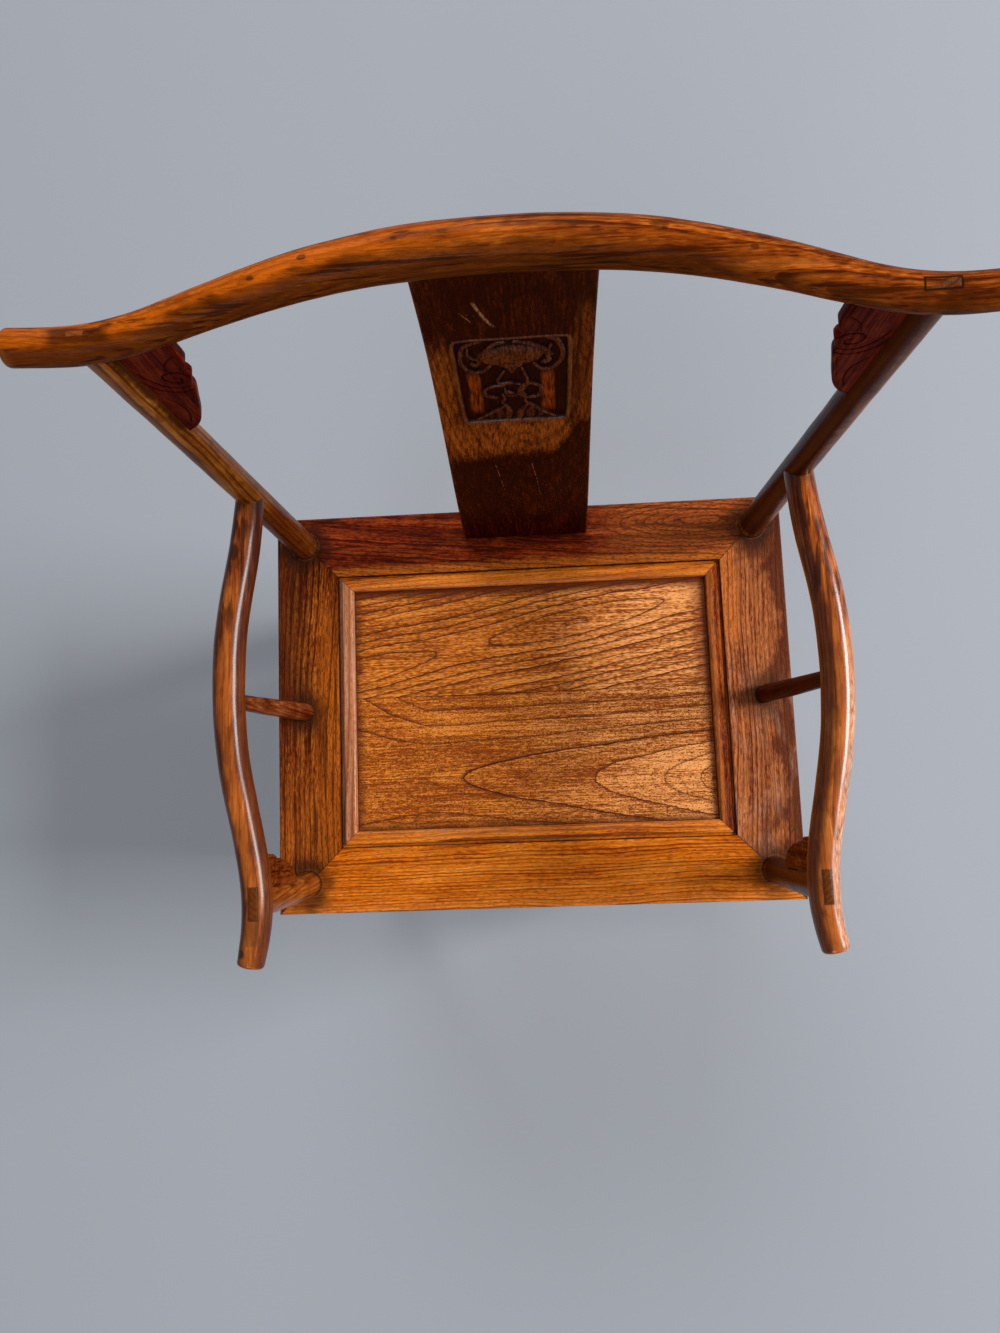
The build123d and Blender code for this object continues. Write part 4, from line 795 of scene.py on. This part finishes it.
def crest_stains(finish, x, y, z):
    """Painted light on the orange top at the left, painted shade with dark patina on the front with black
    streaks, gaps round the tenons, knots and rubbed ends.
    """
    ragged = finish.patch(40, 12, 12, 3)
    shift = (x + ragged * 120).step(10, 170) * 0.42
    # front: painted shade, with some dark patina, on the crest's front below its lit top
    front = (finish.to_y * -1 + ragged * 0.9 - shift).step(0.02, 0.75)
    back = (finish.to_y + ragged).step(0.62, 0.86)
    # orange: painted light on the top at the left
    orange = (1 - front) * (abs(x + 170) + ragged * 120).step(190, 60)
    flame = finish.patch(26, 5, 5, 3) + ragged * 0.5
    flame = flame.step(0.12, 0.17) * flame.step(0.3, 0.2)
    streak = (finish.patch(80, 2.6, 2.6, 3) + ragged * 0.2).step(0.02, 0.14)
    inside = ((abs(abs(x) - STILE_TOP[0]) - CREST_TENON[0] / 2)
              .most(abs(y - STILE_TOP[1]) - CREST_TENON[1] / 2))
    gap = abs(inside - 0.35).step(1.05, 0.3) * z.step(1046, 1048) * (x / 600 + 0.6)
    smear = (abs(x + 262) + ragged * 14).step(24, 14) * (abs(y - STILE_TOP[1]) + ragged * 8).step(7, 3)
    knots = sum([((x - a) ** 2 / 2.2 + (y - b) ** 2 + ragged * 8).step(4.5, 1)
                 for a, b in ((-150, 214), (-118, 223), (-62, 229), (96, 226), (148, 214))], 0)
    mottle = (finish.patch(20, 6, 6, 4) + ragged * 0.3).step(0.02, 0.16)
    tip = (abs(x) + ragged * 8).step(306, 314)
    return (((0.58, 0.115, 0.0025), orange * 0.8), ((0.085, 0.013, 0.0008), mottle * 0.34),
            ((0.09, 0.019, 0.0008), front * 0.82), ((0.055, 0.01, 0.003), back * 0.7),
            ((0.075, 0.012, 0.001), flame * (1 - front) * 0.7),
            ((0.026, 0.004, 0.0004), streak * (front * 0.7 + 0.2)), ((0.05, 0.006, 0.0008), knots * 0.7),
            ((0.02, 0.004, 0.001), smear * 0.8), ((0.46, 0.18, 0.045), tip * 0.45), (GAP, gap))


crest = [(-x, y, z, radius) for x, y, z, radius in reversed(CREST[1:])] + list(CREST)
rings = rings_round(ease_ends(smooth_line(crest, 5), start=4, end=4), around=56, uneven=0.35)
material = pole_finish("waxed_elm_crest", run=0, heart=(252, 1020), ring=4, seed=61,
                       woods=((0.075, 0.012, 0.0006), (0.26, 0.048, 0.0025), (0.54, 0.14, 0.013)),
                       stains=crest_stains, sheen=0.035, coat=0, coarse=0.26)
make_piece("crest_rail_bar", "crest_rail", [skin(rings)], material)

# ---- back splat ----
# The splat is one bent and tapering board, stained almost black. Its medallion
# is cut into the wood: a bat above tied ribbons and two rocks inside a raised
# border, all traditional ornament, with a ground of upright chisel marks.
CARVED = (288, 442)     # the carved part of the splat, over the seat
SPLAT_TOP, SPLAT_HALF, SPLAT_THICK = 538, 72.5, 11
SPLAT_TONGUES = (2, 11)     # how far it runs on into the rear rail and the crest rail
MEDALLION = 366         # its middle, over the seat
SPLAT_BOW = ((0, 0), (4.5, 100), (14, 200), (26.5, 320), (32, 430), (28, 520), (24.5, 570))


def spaced(stops):
    """Places from the first stop to the last, at the spacing given for each run."""
    places = [stops[0][0]]
    for (start, spacing), (end, _) in zip(stops, stops[1:]):
        count = max(1, round((end - start) / spacing))
        places += [start + (end - start) * (k + 1) / count for k in range(count)]
    return np.array(places, float)


def stroke_line(points, closed=False):
    """Smooth line through a carved stroke's points, as short straight runs."""
    points = [np.array(p, float) for p in points]
    if closed:
        points = [points[-1]] + points + points[:2]
    else:
        points = [2 * points[0] - points[1]] + points + [2 * points[-1] - points[-2]]
    line = []
    for a, b, c, d in zip(points, points[1:], points[2:], points[3:]):
        for t in np.arange(0, 1, 0.2):
            line.append(0.5 * (2 * b + (c - a) * t + (2 * a - 5 * b + 4 * c - d) * t**2
                               + (3 * b - a - 3 * c + d) * t**3))
    line.append(points[-2])
    return line


def from_line(x, z, line):
    """Distance from each place to the nearest point of a line, and the share of the line there."""
    best, share = np.full(x.shape, 1e9), np.zeros(x.shape)
    for k, (a, b) in enumerate(zip(line, line[1:])):
        run = b - a
        t = np.clip(((x - a[0]) * run[0] + (z - a[1]) * run[1]) / max(run @ run, 1e-9), 0, 1)
        d = np.hypot(x - a[0] - t * run[0], z - a[1] - t * run[1])
        nearer = d < best
        best = np.where(nearer, d, best)
        share = np.where(nearer, (k + t) / (len(line) - 1), share)
    return best, share


def raised(x, z, strokes):
    """Height of carved strokes: points, widths at start, middle and end, a height, and True if closed."""
    height = np.zeros(x.shape)
    for points, (start, middle, end), rise, *closed in strokes:
        d, share = from_line(x, z, stroke_line(points, closed))
        half = np.where(share < 0.5, start + (middle - start) * share * 2,
                        middle + (end - middle) * (share * 2 - 1)) * 0.64
        section = np.sqrt(np.clip(1 - (d / half) ** 2, 0, 1))
        height = np.maximum(height, rise * section)
    return height


BORDER = ((-43.5, 300), (-44.5, 340), (-44, 400), (-43.5, 424), (-37, 434.5), (0, 435.5), (38, 435.5),
          (44.5, 430), (45.5, 400), (46, 350), (45.5, 308), (39.5, 297), (0, 297.5), (-38, 296.5))
BAT = (
    (((-11, 404), (0, 407), (11, 406)), (22, 25, 23), 3.2),
    (((-5, 391), (0, 386), (0, 379)), (8, 8, 3), 2),
    (((6, 391), (2, 387)), (6, 6, 6), 2.2),
    (((3, 428), (8, 427), (15, 423), (25, 415), (29, 410)), (3, 4.4, 3), 2.6),
    (((12, 414), (22, 412), (31, 404)), (7, 8, 5), 1.3),
    (((30, 431), (35, 427), (38, 418), (40, 405), (38, 393), (33, 385), (26, 381), (21, 385), (18, 391)),
     (5, 3.6, 3), 2.4),
    (((31, 420), (28.5, 410), (28, 402), (29, 396), (26, 393)), (2.4, 3.4, 6), 2.3),
    (((-4, 427), (-12, 424), (-20, 412)), (3, 4.2, 3), 2.2),
    (((-14, 412), (-22, 408), (-24, 400)), (7, 7, 4), 1.2),
    (((-23, 430), (-29, 427), (-35, 422), (-38, 412), (-39, 400), (-37, 390), (-33, 384), (-28, 381),
      (-22, 383), (-17, 390)), (4.4, 3.4, 3), 2.2),
    (((-32, 419), (-33, 410), (-30, 404), (-26, 401), (-25, 396), (-28, 392), (-30, 395)), (2.2, 3, 4), 2.1),
)
RIBBONS = (
    (((-6, 381), (-10, 372), (-12, 365), (-10, 360), (-7, 357)), (2.2, 2.8, 2.4), 1.9),
    (((8, 385), (10, 375), (12, 365), (11, 357), (9, 352), (7, 346), (10, 340)), (2.2, 2.8, 2.4), 2.1),
    (((-10, 360), (-2, 361), (5, 359)), (3, 3.6, 3), 2.1),
    (((-9, 357), (-15, 357), (-21, 354), (-24, 347), (-22, 341), (-15, 338)), (2.4, 3.2, 4.2), 2.2),
    (((14, 359), (21, 355), (23, 347), (20, 338), (13, 336), (6.5, 340), (5, 348), (8, 356)),
     (3.4, 3.4, 3.4), 2.2, True),
    (((-4, 346.5), (-1.5, 344.5)), (4, 4.4, 4), 2.4),
    (((-7, 352), (-6, 342), (-2, 338.5), (3, 341)), (1.8, 2.4, 2), 1.6),
    (((-9, 343), (-8, 335), (-10, 328), (-8, 324)), (2, 2.6, 2.6), 1.8),
    (((10, 336), (9, 330), (12, 326)), (2.2, 2.6, 2.6), 1.8),
)
ROCKS = (
    (((-7, 324), (-17, 315), (-26, 307), (-33, 302)), (3, 3.4, 2.4), 2.2),
    (((-7, 323), (-5, 314), (-6, 303)), (3, 5, 6), 1.7),
    (((-13, 316), (-13, 304)), (5, 7, 7), 1.4),
    (((-21, 309), (-21, 303)), (4, 5, 5), 1.2),
    (((12, 326), (16, 322), (22, 313), (28, 307), (34, 302)), (3.4, 3.6, 2.6), 2.4),
    (((11, 323), (6, 315), (4, 303)), (3, 5, 6), 1.7),
    (((14, 318), (13, 304)), (5, 8, 8), 1.4),
    (((22, 310), (22, 303)), (4, 5, 5), 1.2),
)


def medallion_relief(x, z):
    """Height of the carving over the splat's face, in millimetres; z is above the seat."""
    d, _ = from_line(x, z, stroke_line(BORDER, True))
    corner = (x - 38 > 0) & (z < 303) & ((x - 38) - (z - 296) > 1)
    inside = (np.abs(x - 0.5) < 43.5) & (np.abs(z - 365) < 68) & ~corner
    sunk = np.clip((d - 1.6) / 1.6, 0, 1)
    ground = -2.3 * sunk * sunk * (3 - 2 * sunk)
    chisel = 0.16 * np.sin(x * 2.1 + 0.8 * np.sin(z / 9)) + 0.1 * np.sin(x * 3.7 + z / 17)
    motif = np.maximum(np.maximum(raised(x, z, BAT), raised(x, z, RIBBONS)), raised(x, z, ROCKS))
    blend = np.clip(motif / 0.5, 0, 1)
    carved = ground + np.where(inside, chisel * (sunk > 0.98) * (1 - blend) + motif * sunk, 0)
    return np.where(inside, carved, 0) + 0.75 * np.exp(-(d / 1.7) ** 2)


def splat_board():
    """Points, faces and relief of the splat, finely divided where it is carved."""
    columns = spaced(((-49, 0.55), (49, 1)))
    rows = spaced(((-SPLAT_TONGUES[0], 6), (CARVED[0], 0.6), (CARVED[1], 6),
                   (SPLAT_TOP + SPLAT_TONGUES[1], 1)))
    bow = smooth_line([(z, y, 0, 0) for y, z in SPLAT_BOW], 1)
    depth = np.interp(rows, bow[:, 0], bow[:, 1])
    depth[rows < 0] = 0
    points, relief = [], []
    for z, y in zip(rows, depth):
        half = SPLAT_HALF - 12 * max(z, 0) / SPLAT_TOP
        outer = np.linspace(49, half - 1.2, 8)[1:]
        across = np.concatenate([-outer[::-1], columns, outer])
        raise_by = np.zeros(across.shape)
        if CARVED[0] - 2 < z < CARVED[1] + 2:
            raise_by = medallion_relief(across, np.full(across.shape, z))
        wave = [0.18 * noise.noise(Vector((x / 40, z / 60, 4))) for x in across]
        y += LEG[1]
        z += SEAT
        front = [(x, y - up - bend, z) for x, up, bend in zip(across, raise_by, wave)]
        right = [(half - 0.35, y + 0.35, z), (half, y + 1.2, z), (half, y + 9.8, z),
                 (half - 0.35, y + 10.65, z)]
        back = [(x, y + SPLAT_THICK, z) for x in np.linspace(half - 1.2, -half + 1.2, 14)]
        left = [(-x, y, z) for x, y, z in reversed(right)]
        ring = front + right + back + left
        points += ring
        relief += list(raise_by) + [0] * (len(ring) - len(raise_by))
        around = len(ring)
    faces = tube(len(rows), around)
    faces.append(tuple(reversed(range(around))))
    faces.append(tuple(range(len(points) - around, len(points))))
    return points, faces, relief


def splat_finish():
    """Old black-brown stain, rubbed to ochre under the carving and along the sides."""
    finish = Finish("stained_elm_splat")
    x, y, z = finish.place
    z = z - SEAT
    elm = Elm(finish, z, x - 14, y - 330, 4.4, 71, 0.25)
    relief = finish.relief()
    ragged = finish.cloud(x / 12, y / 12, z / 26, 3)
    fine = finish.cloud(x / 2.2, y / 4, z / 14, 2)
    grit = finish.cloud(x / 1.2, y / 2, z / 4, 1)
    tone = elm.tone + fine * 0.7
    stain = finish.shade(((0.013, 0.0006, 0.0002), (0.026, 0.0014, 0.0003), (0.085, 0.01, 0.0014)),
                         tone + fine + grit - 0.12)
    low = 240 + x * 0.13 + (x - 38).most(0) * 2.6
    ochre = ((z - low + ragged * 22 + grit * 14).step(-14, 9) * (z + ragged * 8).step(300, 292)
             * (x + ragged * 14).step(54, 44))
    left = ((x + ragged * 9).step(-44, -50) * (z + ragged * 40).step(228, 244)
            * (z + ragged * 60).step(450, 400))
    right = ((x + ragged * 9).step(46, 52) * (z + ragged * 40).step(286, 300)
             * (z + ragged * 60).step(500, 450) * 0.5)
    edge = (abs(x) + z * 0.0223 + ragged * 3.5).step(69.5, 72.6)
    face = finish.to_y.step(0.2, -0.4)
    share = (ochre.most(left * 0.85).most(right) * face * 0.9).most(edge * 0.3)
    arch = ((x - 4) ** 2 + (z - 205) ** 2 / 11) ** 0.5 + ragged * 3
    arch = (arch / 5.2 - (arch / 5.2).floor()).step(0.35, 0)
    rubbed = finish.paint((0.09, 0.013, 0.001), (0.42, 0.1, 0.01),
                          (tone + fine + grit + 0.04) - arch * 0.3)
    thread = (elm.line * 0.6).most((elm.streak + fine * 0.4).step(0.08, 0.2) * 0.6)
    sunk = relief.step(-0.5, -1.6)
    # cord and border: raised carving painted lighter in broken specks, rubbed and partly painted glints
    cord = (relief.step(-1.7, -0.4) * face * (z - MEDALLION).step(-69, -67) * (z - MEDALLION).step(70, 68)
            * abs(x - 1).step(44, 42))
    border = (relief.step(0.15, 0.6) * z.step(CARVED[0], CARVED[0] + 3) * z.step(CARVED[1], CARVED[1] - 3)
              * (abs(x - 1) - 36).most(abs(z - MEDALLION) - 60).step(0, 4))
    patch = (sunk * (z + ragged * 8).step(306, 322) * (z + ragged * 8).step(382, 366)
             * (abs(abs(x + 1.5) - 30) + ragged * 6).step(6.5, 3.5))
    over = z - 473
    knock = (abs(x + 17.5 + over * 0.32 - (over / 16) ** 2 * 0.9 + ragged * 2).step(1.9, 0.6)
             * (abs(over) + fine * 6).step(22, 15))
    knock = knock.most((abs(x + 29 + (z - 470) * 0.5) + ragged).step(0.9, 0.2)
                       * (abs(z - 470) + fine * 6).step(9, 4) * 0.6)
    nicks = (finish.cloud(x / 1.6, z / 1.6, 5).step(0.28, 0.33)
             * (abs(x + 26) + abs(z - 460) * 0.7).step(22, 12))
    slips = ((abs(x + 21 + (z - 190) * 0.1 + ragged * 2).step(0.6, 0.2) * abs(z - 188).step(38, 30))
             .most(abs(x - 15 + (z - 185) * 0.1 + ragged * 2).step(0.6, 0.2) * abs(z - 180).step(46, 38)))
    slips = slips * finish.cloud(x / 9, z / 7, 9).step(-0.08, 0.08)
    broken = (0.42 + fine * 1.6 + grit * 1.6).most(0).least(1)
    colour = finish.coats(stain, (
        (rubbed, share), ((0.01, 0.001, 0.0003), thread), ((0.01, 0.0008, 0.0003), sunk * 0.7),
        ((0.3, 0.045, 0.002), patch * (0.6 + fine * 2.4 + elm.fibre * 1.5).least(1).most(0)),
        ((0.16, 0.04, 0.008), cord * (0.34 + fine * 1.5 + grit * 2).most(0).least(1)),
        ((0.24, 0.072, 0.018), border * (0.46 + fine + grit).most(0).least(1)),
        ((0.46, 0.21, 0.08), knock.most(nicks * 0.8) * broken * face),
        ((0.3, 0.12, 0.08), slips * face * 0.55)))
    rough = 0.34 + elm.pore * 0.3 + ragged * 0.2 + sunk * 0.1
    height = ragged * 0.15 - elm.line * 0.05 - elm.pore * 0.15 + fine * 0.05 - knock * face * 0.2
    return finish.close(colour, rough, height, 0.04, cord.most(border) * 0.25 + 0.03)


points, faces, relief = splat_board()
make_piece("back_splat_board", "back_splat", [(points, faces)], splat_finish(), relief)

# ---- spandrels ----
# Cloud-shaped spandrels fill the corners under the crest rail and behind the
# front posts. Each is sawn from thin board, tongued into its post, and carved
# on both faces with a scroll and sweeping veins.
CREST_SPANDREL = ((50, -6), (50, 12), (49.5, 26), (45, 37), (46.5, 45), (42, 58), (41.5, 66), (36, 85),
                  (27.5, 113), (19, 128), (9, 137))
ARM_SPANDREL = ((41, -6), (41, 20), (40, 44), (34, 57), (34.5, 66), (29, 90), (19, 112), (8, 121))
SCROLL = (
    (((46, 44), (40, 38), (32, 38), (27, 44), (30, 51), (37, 52), (39, 47), (35, 44)), (1.5, 1.7, 1.2), 0.9),
    (((43, 57), (33, 60), (24, 57), (17, 48), (13, 36)), (1.2, 1.7, 1), 0.8),
    (((42, 63), (32, 67), (21, 64), (13, 55), (9, 42)), (1.2, 1.7, 1), 0.8),
    (((47, 14), (40, 20), (35, 28), (33, 35)), (1, 1.4, 1), 0.6),
    (((15, 74), (22, 88), (22, 104), (18, 118)), (0.8, 1.5, 0.9), 0.7),
)


def spandrel_board(outline, place, post, thick, shrink):
    """Points, faces and relief of a carved spandrel; post holds the place and lean of its post's face."""
    edge = np.array(stroke_line(outline))
    falls = np.linspace(edge[0, 1], edge[-1, 1], 210)
    edge = np.stack([np.interp(falls, edge[:, 1], edge[:, 0]), falls], axis=1)
    columns = spaced(((0, 0.015), (1, 1)))
    rows, reliefs = [], []
    for out, down in edge:
        along = out + (post[0] - down * post[1] - out) * columns
        drop = np.full(along.shape, down)
        groove = raised(along / shrink, drop / shrink, SCROLL)
        d, _ = from_line(along, drop, edge[::3])
        relief = -np.maximum(groove, np.exp(-((d - 2.6) / 0.8) ** 2) * 0.35) * np.clip(d / 1.2, 0, 1)
        ease = 1.4 * (1 - np.sqrt(np.clip(1 - (1 - np.clip(d / 1.4, 0, 1)) ** 2, 0, 1)))
        rows.append((along, drop, thick / 2 + relief - ease))
        reliefs.append(relief)
    points, faces, relief = [], [], []
    for face in (-1, 1):
        for (along, drop, half), depth in zip(rows, reliefs):
            points += [place(a, face * h, d) for a, h, d in zip(along, half, drop)]
            relief += list(depth)
    width, tall = len(columns), len(rows)
    other = width * tall
    for i in range(tall - 1):
        for k in range(width - 1):
            a = i * width + k
            faces.append((a, a + 1, a + 1 + width, a + width))
            faces.append((a + other, a + other + width, a + other + 1 + width, a + other + 1))
        a, b = i * width, i * width + width - 1
        faces.append((a, a + width, a + width + other, a + other))
        faces.append((b + other, b + width + other, b + width, b))
    for a in range(width - 1):
        faces.append((a, a + 1, a + 1 + other, a + other))
    for a in range((tall - 1) * width, tall * width - 1):
        faces.append((a + other, a + 1 + other, a + 1, a))
    return points, faces, relief


def spandrel_finish(name, seed, woods):
    """Dark red stain, nearly black in the cuts, rubbed along the crests of the carving."""
    finish = Finish(name)
    x, y, z = finish.place
    elm = Elm(finish, z, x - 190, y - 150, 4, seed, 0.2)
    ragged = finish.patch(10, 10, 16, 3)
    colour = finish.coats(finish.shade(woods, elm.tone + ragged), (
        ((0.012, 0.001, 0.0003), finish.relief().step(-0.15, -0.6) * 0.85),
        ((0.014, 0.0012, 0.0004), (elm.fibre + elm.streak * 0.4).step(0.08, 0.2) * 0.5)))
    rough = 0.36 + elm.pore * 0.3 + ragged * 0.2
    return finish.close(colour, rough, ragged * 0.12 - elm.pore * 0.1, 0.01, 0)


for side, sign in SIDES:
    def on_crest(out, depth, down):
        return Vector((sign * (STILE_TOP[0] - out), STILE_TOP[1] + depth, STILE_TOP[2] - down))

    def under_arm(out, depth, down):
        return Vector((sign * (POST_TOP[0] + 1 + depth), POST_TOP[1] + out, POST_TOP[2] - down))

    for kind, outline, place, post, shrink, seed, woods in (
            ("crest", CREST_SPANDREL, on_crest, (8, 0.012), 1, 81,
             ((0.03, 0.0008, 0.0002), (0.08, 0.005, 0.0005), (0.19, 0.024, 0.003))),
            ("arm", ARM_SPANDREL, under_arm, (9, 0.03), 0.88, 85,
             ((0.05, 0.005, 0.0008), (0.15, 0.028, 0.004), (0.34, 0.095, 0.018)))):
        points, faces, relief = spandrel_board(outline, place, post, 9, shrink)
        name = f"{side}_{kind}_spandrel"
        if (sign > 0) == (kind == "crest"):
            faces = [tuple(reversed(face)) for face in faces]
        make_piece(name + "_carving", name, [(points, faces)],
                   spandrel_finish("carved_elm_" + name, seed + sign, woods), relief)

# ---- floor, light and camera ----
# A plain pale round floor, a broad window on the right, two weaker ones behind
# and in front, a pale room all round, and a camera above the seat.
FLOOR_RADIUS, FLOOR_CORNERS = 5.5, 48
LIGHT_AIM = (0, 0, 0.6)
CAMERA_PLACE = (0.0156, -0.08545, 1.5743)
CAMERA_TURNS = (6.8923, 3.0103, -2.0679)
floor_mesh = bpy.data.meshes.new("floor")
turns = [2 * math.pi * k / FLOOR_CORNERS for k in range(FLOOR_CORNERS)]
floor_mesh.from_pydata([(FLOOR_RADIUS * math.cos(turn), FLOOR_RADIUS * math.sin(turn), 0) for turn in turns],
                       [], [tuple(range(FLOOR_CORNERS))])
floor = bpy.data.objects.new("floor", floor_mesh)
bpy.context.scene.collection.objects.link(floor)
floor_finish = Finish("pale_floor")
floor_shader = floor_finish.node("ShaderNodeBsdfPrincipled", {}, {
    "Base Color": (0.315, 0.333, 0.372, 1), "Roughness": 0.9, "Specular IOR Level": 0.1})
floor_finish.node("ShaderNodeOutputMaterial", {}, {"Surface": floor_shader})
floor_mesh.materials.append(floor_finish.material)


def hang_light(name, place, size, watts, colour):
    """A soft rectangular light that shines from a place on the chair."""
    lamp = bpy.data.lights.new(name, "AREA")
    lamp.shape = "RECTANGLE"
    lamp.size, lamp.size_y = size
    lamp.energy = watts
    lamp.color = colour
    light = bpy.data.objects.new(name, lamp)
    light.location = place
    light.rotation_mode = "QUATERNION"
    light.rotation_quaternion = (Vector(LIGHT_AIM) - Vector(place)).to_track_quat("-Z", "Y")
    bpy.context.scene.collection.objects.link(light)


hang_light("window", (6.4, 0.6, 5.2), (3, 2.4), 740, (1, 0.99, 0.97))
hang_light("rear_window", (-1.1, 5.8, 5.2), (4.2, 2.8), 240, (1, 1, 1))
hang_light("front_window", (-1.4, -5.8, 4.8), (4.2, 3.3), 160, (1, 1, 1))

world = bpy.data.worlds.new("room")
bpy.context.scene.world = world
world.use_nodes = True
world.node_tree.nodes.clear()
room, pale, seen, choose, end = [world.node_tree.nodes.new("ShaderNode" + kind) for kind in (
    "Background", "Background", "LightPath", "MixShader", "OutputWorld")]
room.inputs["Color"].default_value = (0.96, 0.98, 1, 1)
room.inputs["Strength"].default_value = 0.2
pale.inputs["Color"].default_value = (0.417, 0.439, 0.49, 1)
for source, goal in ((seen.outputs["Is Camera Ray"], choose.inputs[0]), (room.outputs[0], choose.inputs[1]),
                     (pale.outputs[0], choose.inputs[2]), (choose.outputs[0], end.inputs[0])):
    world.node_tree.links.new(source, goal)

bpy.context.scene.view_settings.view_transform = "Standard"
camera = bpy.data.objects.new("camera", bpy.data.cameras.new("camera"))
bpy.context.scene.collection.objects.link(camera)
camera.data.sensor_width = 36
camera.data.lens = 24.915
camera.data.clip_start = 0.05
camera.data.clip_end = 100
camera.location = CAMERA_PLACE
camera.rotation_euler = [math.radians(turn) for turn in CAMERA_TURNS]
bpy.context.scene.camera = camera
